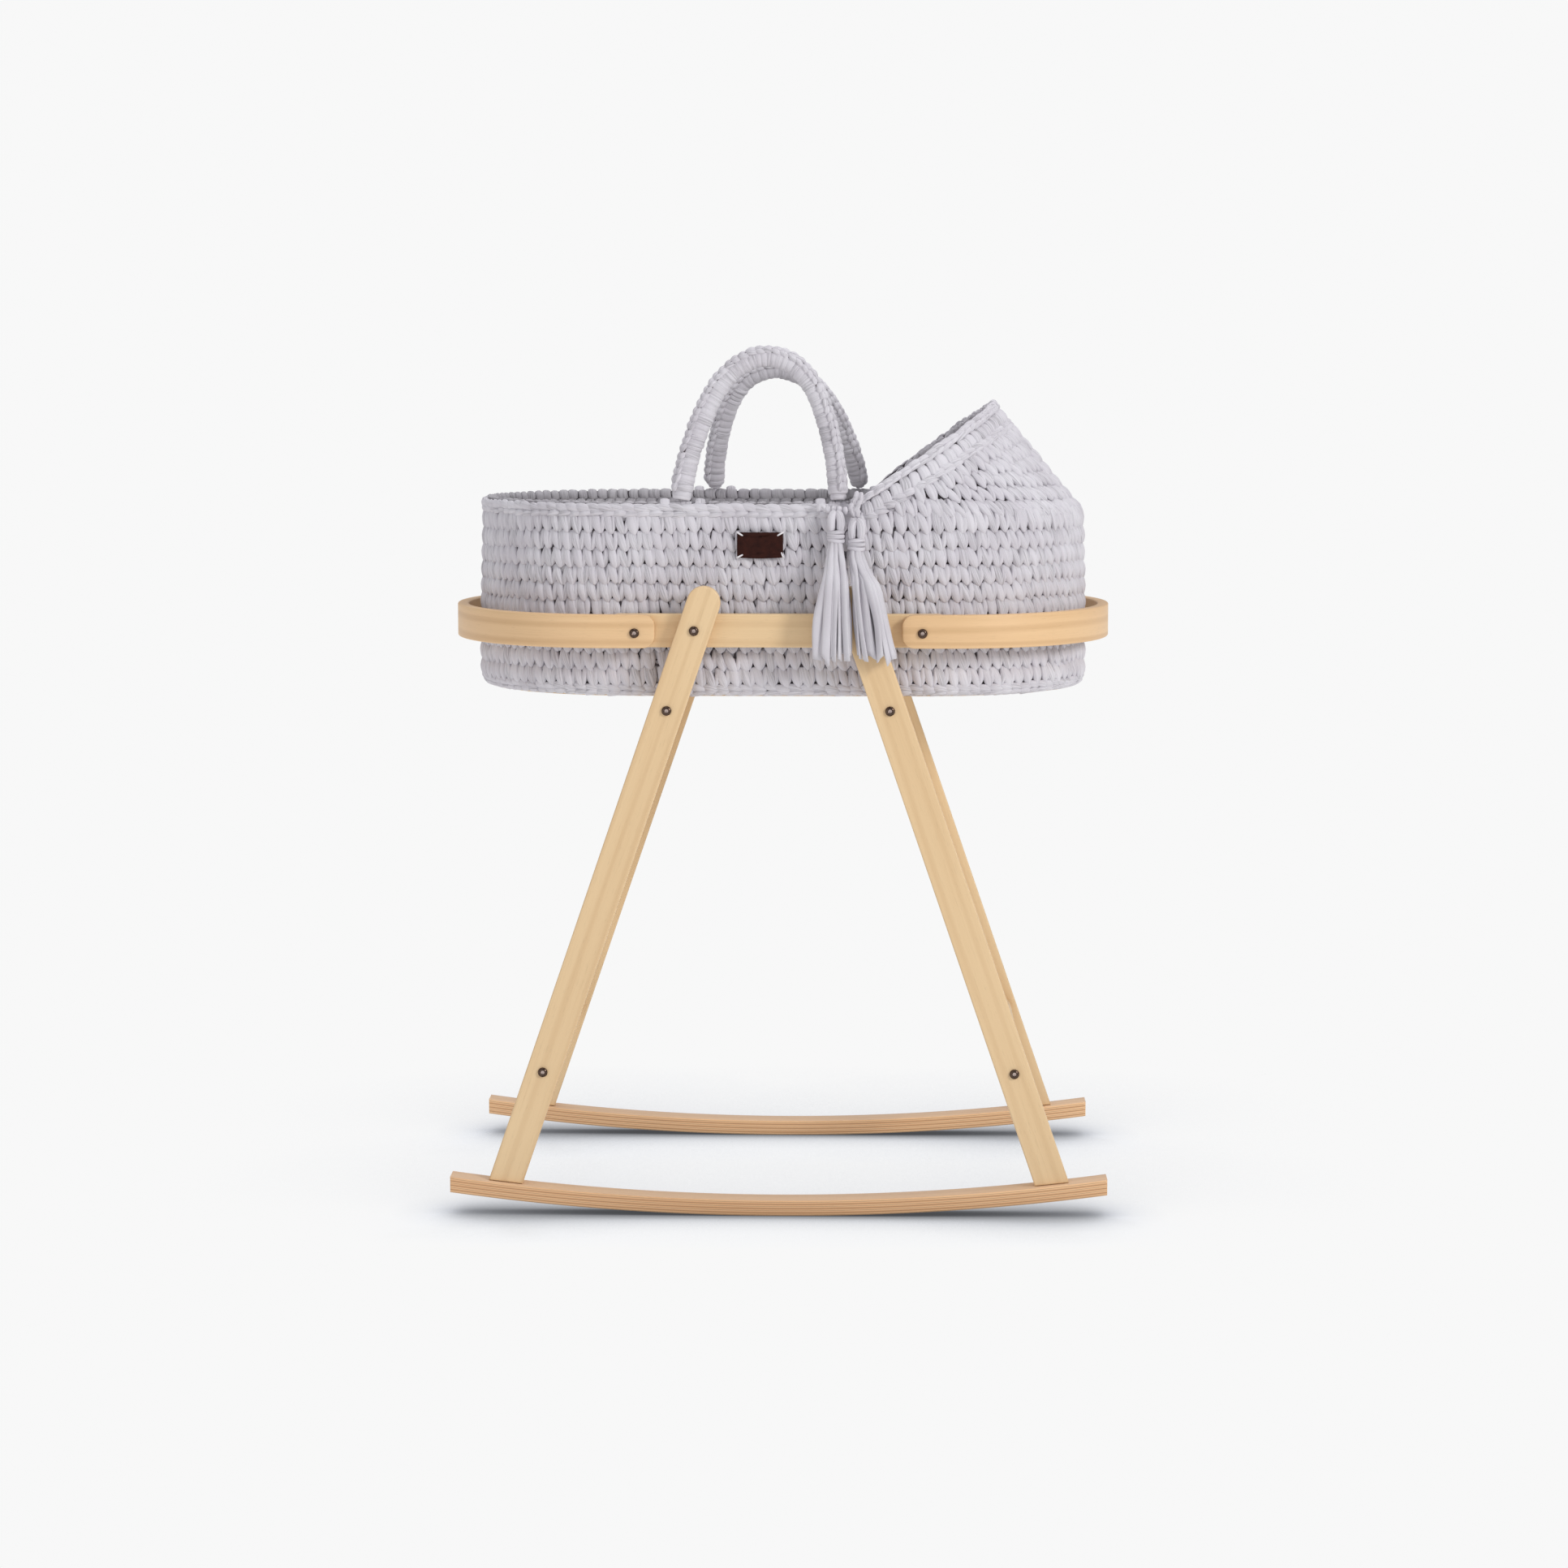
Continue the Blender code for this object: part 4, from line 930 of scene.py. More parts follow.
def handle_sleeve(label, at, length):
    """A sleeve painted dark as the shade between the turns, so that nothing but yarn shows between them."""
    sleeve = Soup()
    distance = np.linspace(-0.009, length + 0.009, 70)
    radius = (HANDLE_R - 0.0022) * np.sqrt(np.clip(1 - (past_ends(distance, length) / 0.0105) ** 2, 0.1, 1))
    middle, normal, across, _ = at(distance)
    around = round_arch(normal[:, None], across[:, None], circle(36)[None])
    sleeve.shell(middle[:, None] + radius[:, None, None] * around, tube_quads(70, 36))
    sleeve.build(f"handle_{label}_sleeve", YARN_PAINTED_SHADE, f"handle_{label}", "yarn")


def handle_bands(label, rng, at, length):
    """Turns of yarn round the handle, with a tuft that closes each end."""
    wrap = Soup()
    sides, section = 36, 10
    turn, profile = circle(sides), circle(section, 0.5)
    place, last = -0.0122, length + 0.0110
    while place < last:
        width = float(np.clip(rng.normal(0.0080, 0.0018), 0.0055, 0.0120))
        centre = place + width / 2
        end = past_ends(centre, length)
        core = (HANDLE_R - 0.0025) * math.sqrt(max(1 - (end / 0.0118) ** 2, 0.12))
        tilt, swing = rng.normal(0, 0.0007), rng.uniform(0, 2 * PI)
        wobble = rng.normal(0, 0.00025, 2)
        thick = 0.0025 + rng.normal(0, 0.0002)
        offset = centre + tilt * np.cos(turn + swing) + wobble[0] * np.sin(2 * turn + swing)
        shift = (centre - np.clip(centre, 0, length)) + width * 0.62 * np.cos(profile)
        shift = np.clip(shift, -0.0124, 0.0124)
        radius = core + thick * np.sin(profile) + wobble[1]
        middle, normal, across, tangent = at(np.clip(offset, 0, length))
        points = (middle[:, None] + tangent[:, None] * shift[None, :, None]
                  + radius[None, :, None] * round_arch(normal, across, turn)[:, None])
        strand = strand_of(points, np.cos(profile)[None] * (width / 0.0060), (turn * HANDLE_R)[:, None],
                           rng.random())
        wrap.shell(points, tube_quads(sides, section, closed=True)[:, ::-1], strand)
        place += width * 0.92
    dome = np.linspace(0, 1.42, 8)[:, None]
    for edge, hand in ((0.0, -1), (length, 1)):
        middle, normal, across, tangent = at(np.array([edge]))
        reach, radius = hand * (0.0084 + 0.0038 * np.sin(dome)), 0.0066 * np.cos(dome)
        around = round_arch(normal, across, turn)
        points = middle + tangent * reach[..., None] + radius[..., None] * around[None]
        strand = strand_of(points, 0.8 * np.sin(dome) * np.cos(3 * turn), radius * np.sin(turn), 0.4)
        wrap.shell(points, tube_quads(len(dome), sides)[:, ::hand], strand)
    made = wrap.build(f"handle_{label}_bands", YARN, f"handle_{label}", "yarn")
    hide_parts(f"handle_{label}_wrap")


def handle_chain(label, rng, at, length, angles):
    """The seam of chain stitches, which winds round the handle from the first angle to the second."""
    chain, bed = Soup(), Soup()
    pitch = 0.0092
    count = round((length - 0.0045) / pitch) + 1
    link = variants(rng, vee, pitch=pitch * 1000, widths=(7.4, 7.4), splits=(4.3, 4.3), lengths=(1.45, 1.45),
                    thick=6.6, base=0.6)
    start, stop = (math.radians(v) for v in angles)

    def along_arch(places, a, b, c):
        distance = places[:, :1] + b
        middle, normal, across, _ = at(distance)
        angle = start + (stop - start) * np.clip(distance / length, 0, 1) + a / (HANDLE_R + 0.002)
        taper = np.sqrt(np.clip(1 - (past_ends(distance, length) / 0.0128) ** 2, 0.1, 1))
        return middle + ((HANDLE_R + c) * taper)[..., None] * round_arch(normal, across, angle)

    places = np.stack((np.linspace(-0.0035, length - 0.0092, count), np.zeros(count)), 1)
    stitch_rows(chain, rng, along_arch, places, link, size=0.05, turn=0.03)
    # The shade in the notches along the chain's edges
    run, profile = np.linspace(0.002, length - 0.004, 90)[:, None], circle(10, 0.5)[None]
    points = along_arch(run, 0.0062 * np.cos(profile), 0 * profile, 0.0012 * np.sin(profile) - 0.0002)
    bed.shell(points, tube_quads(90, 10))
    bed.build(f"handle_{label}_chain_bed", YARN_PAINTED_SHADE, f"handle_{label}", "yarn")
    chain.build(f"handle_{label}_chain", YARN, f"handle_{label}", "yarn")


# Shift along the rim, width in mm, length in mm and rise in mm of the stitches at a handle's foot
ROOTS = ((-0.0063, 8.0, 25, -2.7), (0.0, 8.0, 26, -2.7), (0.0063, 8.0, 25, -2.7),
         (-0.0208, 12.0, 24, 1.0), (0.0208, 12.0, 24, 1.0))


def handle_roots():
    """The stitches of the rim that each handle's feet stand on and between."""
    rng = rng_for("roots")
    soup = Soup()

    def over_rim(places, a, b, c):
        return rim_point(places[:, :1] + a, PI / 2 + b / 0.0085, c)

    for spec in HANDLES.values():
        for end in (-1, 1):
            x = spec["x"] + end * HANDLE_SPAN
            middle = near_u(x) if spec["side"] < 0 else -x
            for shift, width, length, rise in ROOTS:
                kind = [(lobe(mm(0, length / 2), mm(0, -length / 2), width / 1000, 0.0062, 0.0,
                              mm(-3.0, rise, -3.0), 9, 12, BEAN_WIDTH),)]
                stitch_rows(soup, rng, over_rim, [(middle + shift, 0.0)], kind, jitter=(0.0003, 0.0003, 0.0),
                            size=0.02)
    soup.build("handle_roots", YARN, "basket", "yarn")


# ---------------------------------------------------------------- tassels, tie and tag

TASSELS = {
    "left": {"x": 0.0680, "foot_x": 0.0675, "top": 0.8440, "spread": 0.0225},
    "right": {"x": 0.0923, "foot_x": 0.1180, "top": 0.8345, "spread": 0.0262},
}
TASSEL_Y = -0.2235
TASSEL_FOOT = (-0.2680, 0.672)     # y and z of the skirt's lower end
TASSEL_STEP = (-0.2655, 0.762)     # y and z of its bend above the rail
STRIPS_FRONT = 7
STRIPS_BACK = 5


def ring_tube(soup, centre, axis_tilt, radius, thick, rng):
    """One turn of yarn round a tassel's neck."""
    turn, profile = circle(40)[:, None], circle(10)[None]
    out = radius + thick * 0.8 * np.cos(profile) + 0.0003 * np.sin(3 * turn + rng.uniform(0, 6))
    rise = thick * np.sin(profile) + axis_tilt * np.cos(turn + 0.6)
    points = np.stack((centre[0] + out * np.cos(turn), centre[1] + 0.92 * out * np.sin(turn),
                       centre[2] + rise), -1)
    soup.shell(points, tube_quads(40, 10, closed=True),
               strand_of(points, np.cos(profile), turn * radius, rng.random()))


def strip(soup, rng, route, width, curl, facing, slant, turn_over):
    """A flat strip of jersey whose edges curl back, along the route's points, cut off at a slant.

    facing is the direction the strip's face looks, in radians from -Y towards +X, and turn_over how far it
    twists on its way down.
    """
    steps, half, thick = 30, 9, 0.0008
    t, line, tangent = smooth_line(route, steps, 3)
    twist = facing + 0.16 * np.sin(t * 7 + rng.uniform(0, 6)) + turn_over * (3 * t ** 2 - 2 * t ** 3)
    face = np.stack((np.sin(twist), -np.cos(twist), 0 * twist), 1)
    face = unit(face - tangent * np.sum(face * tangent, 1, keepdims=True))
    side = np.cross(tangent, face)
    w = width * np.interp(t, (0, 0.08, 0.30, 0.60, 1), (0.55, 0.62, 0.80, 0.95, 1.0))
    bend = curl * np.interp(t, (0, 0.25, 0.6, 1), (1.8, 1.15, 0.75, 0.55))
    bend = np.minimum(bend * (1 + 0.10 * np.sin(t * 9 + rng.uniform(0, 6))), 2.7)
    place = np.linspace(-1, 1, half)
    # The edges roll more tightly than the middle.
    angle = bend[:, None] * (0.72 * place + 0.28 * np.sign(place) * np.abs(place) ** 3)[None]
    radius = (w / (2 * bend))[:, None]
    faces = []
    for sign in (1, -1):
        a = np.sin(angle) * (radius + sign * thick)
        c = (np.cos(angle) - 1) * radius + sign * thick * np.cos(angle)
        points = line[:, None] + side[:, None] * a[..., None] + face[:, None] * c[..., None]
        faces.append(points[:, ::sign])
    points = np.concatenate(faces, 1)
    around = np.concatenate((place, place[::-1]))
    cut = slant * around + rng.normal(0, 0.0004, 2 * half)
    points[-1] += tangent[-1] * cut[:, None]
    points[-2] += tangent[-2] * cut[:, None] * 0.5
    soup.shell(points, tube_quads(steps, 2 * half),
               strand_of(points, around[None], (t * 0.13)[:, None], rng.random()))


def free_lobe(soup, rng, points, width, thick, sides=12):
    """A fat yarn tube through the given points, pinched at both ends."""
    steps, front = 14, np.array((0, -1.0, 0))
    t, line, tangent = smooth_line(points, steps, 4)
    out = unit(front - tangent * (tangent @ front)[:, None])
    side = np.cross(tangent, out)
    size = np.interp(t, (0, 0.12, 0.5, 0.88, 1), (0.55, 0.9, 1.0, 0.9, 0.5))
    turn = circle(sides)
    ring = line[:, None] + size[:, None, None] * (side[:, None] * (np.cos(turn) * width / 2)[None, :, None]
                                                  + out[:, None] * (np.sin(turn) * thick / 2)[None, :, None])
    soup.shell(ring, tube_quads(steps, sides),
               strand_of(ring, np.cos(turn)[None], (t * 0.03)[:, None], rng.random()))


def tassel(label, spec):
    rng = rng_for("tassel" + label)
    x, y, top = spec["x"], TASSEL_Y, spec["top"]
    head, binding, skirt = Soup(), Soup(), Soup()
    for dx, dy, lean in ((-0.0048, -0.0030, -0.0006), (0.0046, -0.0035, 0.0010), (-0.0005, 0.0040, 0.0)):
        fold = ((x + dx, y + dy, top - 0.0235), (x + dx * 1.1 + lean, y + dy * 1.4, top - 0.013),
                (x + dx * 0.85 + lean, y + dy, top - 0.004), (x + dx * 0.2, y + 0.002, top))
        free_lobe(head, rng, fold, 0.0100, 0.0098)
    for drop, tilt, radius in ((0.0248, 0.0011, 0.0086), (0.0290, 0.0, 0.0089), (0.0335, -0.0011, 0.0086)):
        ring_tube(binding, (x, y, top - drop), tilt, radius, 0.0026, rng)
    for i in range(STRIPS_FRONT + STRIPS_BACK):
        tassel_strip(skirt, rng, spec, i)
    parts = (("head", head, YARN), ("binding", binding, YARN), ("skirt", skirt, YARN_SMOOTH))
    for part, soup, material in parts:
        made = soup.build(f"tassel_{label}_{part}_yarn", material, f"tassel_{label}", "yarn")
        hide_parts(f"tassel_{label}_{part}")


def tassel_strip(skirt, rng, spec, i):
    """Strip i of a skirt: the front ones come first, and the ones behind fill the gaps between them."""
    x, y, start = spec["x"], TASSEL_Y, spec["top"] - 0.0350
    behind = i >= STRIPS_FRONT
    share = (i - STRIPS_FRONT + 0.5) / STRIPS_BACK if behind else (i + 0.5) / STRIPS_FRONT
    lateral = 2 * share - 1 + rng.normal(0, 0.04)
    depth = 0.0050 if behind else -0.0004 - 0.0050 * (i % 2) - 0.0015 * math.cos(lateral * PI / 2)
    away, spread = spec["foot_x"] - x, spec["spread"]
    foot_x = spec["foot_x"] + lateral * spread + rng.normal(0, 0.0008)
    step_x = x + away * 0.44 + lateral * spread * 0.68
    foot_z = TASSEL_FOOT[1] + 0.0015 + rng.normal(0, 0.0028) + (0.004 if behind else 0.0)
    # Out of the binding, down the basket's wall, over the rail and down past it
    route = (
        (x + lateral * 0.0066, y + depth * 0.8, start + 0.004),
        (x + lateral * 0.0090, y - 0.005 + depth * 0.9, start - 0.009),
        (x + away * 0.19 + lateral * 0.0118, y - 0.023 + depth * 0.8, start - 0.026),
        (step_x + rng.normal(0, 0.0008), TASSEL_STEP[0] - 0.0005 + depth * 0.7, TASSEL_STEP[1] - 0.002),
        ((step_x + foot_x) / 2 + rng.normal(0, 0.0014), TASSEL_FOOT[0] + depth * 0.8,
         (TASSEL_STEP[1] + foot_z) / 2),
        (foot_x, TASSEL_FOOT[0] + depth * 0.9, foot_z),
    )
    width, curl = rng.uniform(0.0078, 0.0130) + 0.003 * behind, rng.uniform(0.8, 1.4)
    facing, slant = lateral * 0.55 + rng.normal(0, 0.18), rng.normal(0, 0.0032)
    strip(skirt, rng, route, width, curl, facing, slant, rng.choice((-1.2, -0.7, 0.0, 0.5, 1.1)))


TIE_Y = -0.2135
# The tie's yarns as (x, z): a fold, the turns of its knot and a chained loop
TIE_FOLD = ((0.0470, 0.8440), (0.0475, 0.8505), (0.0510, 0.8525), (0.0548, 0.8500), (0.0560, 0.8435))
TIE_KNOT = (
    ((0.0590, 0.8500), (0.0580, 0.8470), (0.0600, 0.8430)),
    ((0.0655, 0.8500), (0.0645, 0.8470), (0.0660, 0.8425)),
    ((0.0720, 0.8500), (0.0715, 0.8465), (0.0710, 0.8425)),
    ((0.0785, 0.8490), (0.0790, 0.8450), (0.0775, 0.8410)),
)
TIE_LOOP = ((0.0855, 0.8440), (0.0905, 0.8510), (0.0935, 0.8580), (0.0950, 0.8640))


def tie():
    """The cord that holds the tassels: a fold on the left, a knot beside the handle's foot and a chained loop
    that stands up on the right."""
    rng = rng_for("tie")
    soup = Soup()
    y = TIE_Y
    free_lobe(soup, rng, [(x, y - 0.0010, z) for x, z in TIE_FOLD], 0.0060, 0.0056)
    for line in TIE_KNOT:
        free_lobe(soup, rng, [(x, y - 0.0028 * (i == 1), z) for i, (x, z) in enumerate(line)], 0.0072, 0.0066)
    for (x, z), (next_x, next_z) in zip(TIE_LOOP, TIE_LOOP[1:]):
        dx, dz = next_x - x, next_z - z
        for sign in (1, -1):
            nx, nz = -dz * sign * 0.42, dx * sign * 0.42
            link = ((0.0, 0.3, 0.0), (0.6, 1.1, -0.0024), (1.55, 0.9, 0.0))      # along, out and towards -Y
            free_lobe(soup, rng, [(x + dx * a + nx * n, y + out, z + dz * a + nz * n) for a, n, out in link],
                      0.0062, 0.0060)
    for shift in (0.0, 0.0066):
        end = ((0.0865 + shift, y, 0.8500), (0.0868 + shift, y - 0.0022, 0.8440),
               (0.0900 + shift * 0.5, y - 0.001, 0.8370))
        free_lobe(soup, rng, end, 0.0066, 0.0060)
    made = soup.build("tie_chain", YARN, "basket", "yarn")
    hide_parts("tassel_tie")


def tag():
    """The blank leather tag with a stitch across each corner."""
    low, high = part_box("leather_tag")
    front, back = low.y - MID_Y, high.y - MID_Y
    width, height = high.x - low.x, high.z - low.z
    centre_x, centre_z = (low.x + high.x) / 2, (low.z + high.z) / 2
    corner, edge = 0.0025, 0.0006
    flat = []
    for sx, sz, begin, nx, nz in ((1, -1, -90, 0, 1), (1, 1, 0, -1, 0), (-1, 1, 90, 0, -1),
                                  (-1, -1, 180, 1, 0)):
        flat += [(sx * (width / 2 - corner) + corner * math.cos(turn),
                  sz * (height / 2 - corner) + corner * math.sin(turn)) for turn in quarter(begin, 6)]
        x, z = flat[-1]
        span = (height if nz else width) - 2 * corner
        flat += [(x + nx * span * k / 8, z + nz * span * k / 8) for k in range(1, 8)]
    flat = np.array(flat)
    # The lower edge sags a little, and the middle stands out.
    belly = np.cos(flat[:, 0] / width * PI)
    flat[:, 1] -= 0.0012 * belly * (flat[:, 1] < 0)
    from_middle = np.hypot(flat[:, 0], flat[:, 1])
    rings = []
    for inset, share in ((0.006, 0), (edge, 0), (0, 0.3), (0, 0.7), (edge, 1), (0.006, 1)):
        shrunk = flat * (1 - inset / from_middle)[:, None]
        y = back + (front - back) * share
        rings.append(np.stack((centre_x + shrunk[:, 0], y - 0.0006 * belly, centre_z + shrunk[:, 1]), 1))
    soup = Soup()
    soup.shell(np.concatenate(rings), tube_quads(len(rings), len(flat)))
    made = soup.build("tag_leather", LEATHER, "basket", "leather")
    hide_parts("leather_tag")

    rng = rng_for("tag")
    threads = Soup()
    y = front - 0.0006
    for sx, sz, dx, dz in ((-1, 1, 0.0078, -0.0048), (1, 1, -0.0078, -0.0048), (-1, -1, 0.0078, 0.0042),
                           (1, -1, -0.0028, 0.0070)):
        x, z = centre_x + sx * (width / 2 + edge), centre_z + sz * (height / 2 + edge)
        line = [(x + dx * share, y + out, z + dz * share)
                for share, out in ((0.0, 0.0035), (0.15, -0.0006), (0.6, -0.0008), (1.0, 0.0012))]
        free_lobe(threads, rng, line, 0.0022, 0.0019, sides=8)
    threads.build("tag_stitches", THREAD, "basket", "yarn")


# ---------------------------------------------------------------- wood and metal

LEG_Y = 0.240                  # from the stand's middle plane to each pair of legs
LEG_W = 0.040
LEG_T = 0.018
LEG_FOOT = (0.329, 0.039)      # x and z of the middle of its lower end
FOOT_GAP = 0.0006              # between a leg's foot and its rocker
LEG_TOP = (0.0887, 0.737)      # and of the centre of its round top
LEG_LEAN = (LEG_FOOT[0] - LEG_TOP[0]) / (LEG_TOP[1] - LEG_FOOT[1])
ROCKER = {"length": 0.790, "depth": 0.036, "thick": 0.019, "radius": 2.903}
RAIL = {"z": 0.703, "height": 0.040, "length": 0.404, "outer": LEG_Y - LEG_T / 2 - 0.0003, "thick": 0.015,
        "corner": 0.012}
BOW = {"inner": RAIL["outer"] + 0.0003, "thick": 0.0135, "bend_x": 0.2045, "reach": 0.1865, "tip_x": 0.147,
       "corner": 0.014}
EDGE = 0.0017                  # radius of the boards' rounded edges


def seed_for(name):
    """A board's own shift of the grain."""
    rng = rng_for(name)
    return np.array((rng.uniform(0, 40), rng.uniform(0, 4), rng.uniform(0, 0.4)))


def place_board(name, points, quads, values, material, node, slot, sharp=None):
    soup = Soup("grain")
    soup.shell(points, quads, values)
    made = soup.build(name, material, "stand", slot)
    if sharp:
        made.data.set_sharp_from_angle(angle=math.radians(sharp))
    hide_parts(node)
    return made


def slab(name, points, y0, y1, grain_of, material, node, slot, edge=EDGE):
    """A board cut from a flat outline in (x, z), between y0 and y1, with its edges rounded."""
    points = np.asarray(points)
    d0, d1 = unit(points - np.roll(points, 1, 0)), unit(np.roll(points, -1, 0) - points)
    normal = unit(np.stack((d0[:, 1] + d1[:, 1], -d0[:, 0] - d1[:, 0]), 1))
    half = np.sqrt(np.clip((1 + np.sum(d0 * d1, 1)) / 2, 0.3, 1))[:, None]
    loops = [(edge * (1 - math.sin(a)), y0 + edge * (1 - math.cos(a))) for a in quarter(0, 4)]
    loops += [(inset, y0 + y1 - y) for inset, y in reversed(loops)]
    loops = [(edge * 3, y0)] + loops + [(edge * 3, y1)]
    rings = []
    for inset, y in loops:
        flat = points - normal / half * inset
        rings.append(np.stack((flat[:, 0], np.full(len(flat), y), flat[:, 1]), 1))
    verts = np.concatenate(rings)
    return place_board(name, verts, tube_quads(len(rings), len(points)), grain_of(verts) + seed_for(name),
                       material, node, slot, sharp=60)


def leg(label, hand, side, end):
    up = np.array((-end * LEG_LEAN, 1.0))
    up /= np.linalg.norm(up)
    across = np.array((up[1], -up[0])) * end
    inner = ROCKER["radius"] - ROCKER["thick"]
    angle = math.asin(LEG_FOOT[0] / inner)
    foot = np.array((end * inner * math.sin(angle), ROCKER["radius"] - inner * math.cos(angle)))
    normal = np.array((-end * math.sin(angle), math.cos(angle)))

    def foot_corner(edge):
        """Where a side of the leg meets the rocker's inner face."""
        start = foot + across * edge
        return start + up * ((FOOT_GAP - (start - foot) @ normal) / (up @ normal))

    first, last = foot_corner(LEG_W / 2), foot_corner(-LEG_W / 2)
    top = np.array((end * LEG_TOP[0], LEG_TOP[1]))
    right, left = top + across * LEG_W / 2, top - across * LEG_W / 2
    points = [first + (right - first) * k / 12 for k in range(12)]
    for k in range(25):
        turn = PI * k / 24
        points.append(top + across * (LEG_W / 2 * math.cos(turn)) + up * (LEG_W / 2 * math.sin(turn)))
    points += [left + (last - left) * k / 12 for k in range(1, 13)]
    y = side * LEG_Y

    def grain(verts):
        flat = verts[:, (0, 2)]
        return np.stack((flat @ up, flat @ across, verts[:, 1]), 1)

    slab(f"leg_{label}_{hand}_board", points[::end], y - LEG_T / 2, y + LEG_T / 2, grain, BIRCH,
         f"leg_{label}_{hand}", "birch")


def rail(label, side):
    radius = RAIL["corner"]
    half, rise = RAIL["length"] / 2 - radius, RAIL["height"] / 2 - radius
    points = [(sx * half + radius * math.cos(turn), RAIL["z"] + sz * rise + radius * math.sin(turn))
              for sx, sz, begin in ((1, -1, -90), (1, 1, 0), (-1, 1, 90), (-1, -1, 180))
              for turn in quarter(begin, 8)]
    y0, y1 = sorted((side * RAIL["outer"], side * (RAIL["outer"] - RAIL["thick"])))
    slab(f"rail_{label}_board", points, y0, y1, lambda v: v[:, (0, 2, 1)], BIRCH, f"rail_{label}", "birch")


def rocker(label, side):
    """Lamellas glued up on a curve; the grain follows it."""
    radius, inner, half = ROCKER["radius"], ROCKER["radius"] - ROCKER["thick"], ROCKER["length"] / 2
    x = np.linspace(-half, half, 61)
    low = np.stack((x, radius - np.sqrt(radius ** 2 - x ** 2)), 1)
    high = np.stack((x, radius - np.sqrt(inner ** 2 - x ** 2) - 0.00012), 1)
    y = side * LEG_Y

    def grain(verts):
        reach = np.hypot(verts[:, 0], radius - verts[:, 2])
        turn = np.arctan2(verts[:, 0], radius - verts[:, 2])
        return np.stack((turn * radius, verts[:, 1], radius - reach), 1)

    made = slab(f"rocker_{label}_board", np.concatenate((low, high[::-1])), y - ROCKER["depth"] / 2,
                y + ROCKER["depth"] / 2, grain, BIRCH_PLY, f"rocker_{label}", "birch_ply", edge=0.0018)
    # The layers are counted from the lower face.
    values = made.data.attributes["grain"]
    flat = np.zeros(len(values.data) * 3, np.float32)
    values.data.foreach_get("vector", flat)
    flat = flat.reshape(-1, 3)
    flat[:, 2] -= flat[:, 2].min()
    values.data.foreach_set("vector", flat.ravel())


def bow_line():
    """The bow's inner face from its near tip to its far one: place, outward direction and how far the rounded
    tip cuts in from above and below."""
    radius, bends = BOW["corner"], 56
    tip = [(BOW["tip_x"] + radius * (1 - math.cos(turn)), radius * (1 - math.sin(turn)))
           for turn in quarter(0, 8)]
    end_x = BOW["tip_x"] + radius
    tip += [(end_x + (BOW["bend_x"] - end_x) * k / 4, 0.0) for k in range(1, 4)]
    tip = [((x, -BOW["inner"]), (0.0, -1.0), inset) for x, inset in tip]
    bend = []
    for k in range(bends + 1):
        turn = PI * k / bends
        nx, ny = BOW["inner"] * math.sin(turn), -BOW["reach"] * math.cos(turn)
        size = math.hypot(nx, ny)
        bend.append(((BOW["bend_x"] + BOW["reach"] * math.sin(turn), -BOW["inner"] * math.cos(turn)),
                     (nx / size, ny / size), 0.0))
    return tip + bend + [((x, -y), (nx, -ny), inset) for (x, y), (nx, ny), inset in reversed(tip)]


def bow(hand, end):
    """A bent board: a rounded rectangle swept round the basket's end."""
    line = bow_line()
    section = [(outer, upper, math.cos(turn), math.sin(turn))
               for outer, upper, begin in ((1, 1, 0), (0, 1, 90), (0, 0, 180), (1, 0, 270))
               for turn in quarter(begin, 4)]
    low, high = RAIL["z"] - RAIL["height"] / 2, RAIL["z"] + RAIL["height"] / 2
    runs = run_length(np.array([place for place, _, _ in line]))
    rings, values = [], []
    for index, ((px, py), (nx, ny), inset) in enumerate(line):
        # The first two rings and the last two draw in, which rounds the end's corners.
        share = min(index, len(line) - 1 - index, 2) / 2
        round_off = EDGE * math.sqrt(1 - (1 - share) ** 2)
        for outer, upper, c, s in section:
            out = (BOW["thick"] - EDGE if outer else EDGE) + c * round_off
            z = (high - inset - EDGE if upper else low + inset + EDGE) + s * EDGE
            rings.append((end * (px + nx * out), py + ny * out, z))
            values.append((runs[index], z, out))
    shape = (len(line), len(section), 3)
    rings, values = np.reshape(rings, shape)[:, ::end], np.reshape(values, shape)[:, ::end]
    place_board(f"bow_{hand}_board", rings, tube_quads(*shape[:2])[:, ::-1], values + seed_for(f"bow{hand}"),
                BIRCH_BENT, f"bow_{hand}", "birch", sharp=60)


def axis_of(node):
    """x and z of the axis of a round CAD node that lies along Y, its radius and its two ends."""
    low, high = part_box(node)
    return (low.x + high.x) / 2, (low.z + high.z) / 2, (high.x - low.x) / 2, low.y - MID_Y, high.y - MID_Y


def lathe(x, z, profile, turn):
    """Rings of points about an axis along Y: each has its y and its radius, or a radius for each angle."""
    return np.array([np.stack((x + r * np.cos(turn), np.full(len(turn), y), z + r * np.sin(turn)), 1)
                     for y, r in profile])


def dowel(name, node):
    x, z, radius, y0, y1 = axis_of(node)
    profile = [(0.0, radius - 0.0015), (0.0006, radius - 0.0004)]
    profile += [(0.0016 + (y1 - y0 - 0.0032) * k / 6, radius) for k in range(7)]
    profile += [(y1 - y0 - depth, r) for depth, r in reversed(profile[:2])]
    rings = lathe(x, z, [(y0 + depth, r) for depth, r in profile], PI / 2 - circle(40))
    grain = rings[..., (1, 0, 2)] + seed_for(name)
    place_board(name, rings, tube_quads(len(profile), 40), grain, BIRCH, node, "birch")


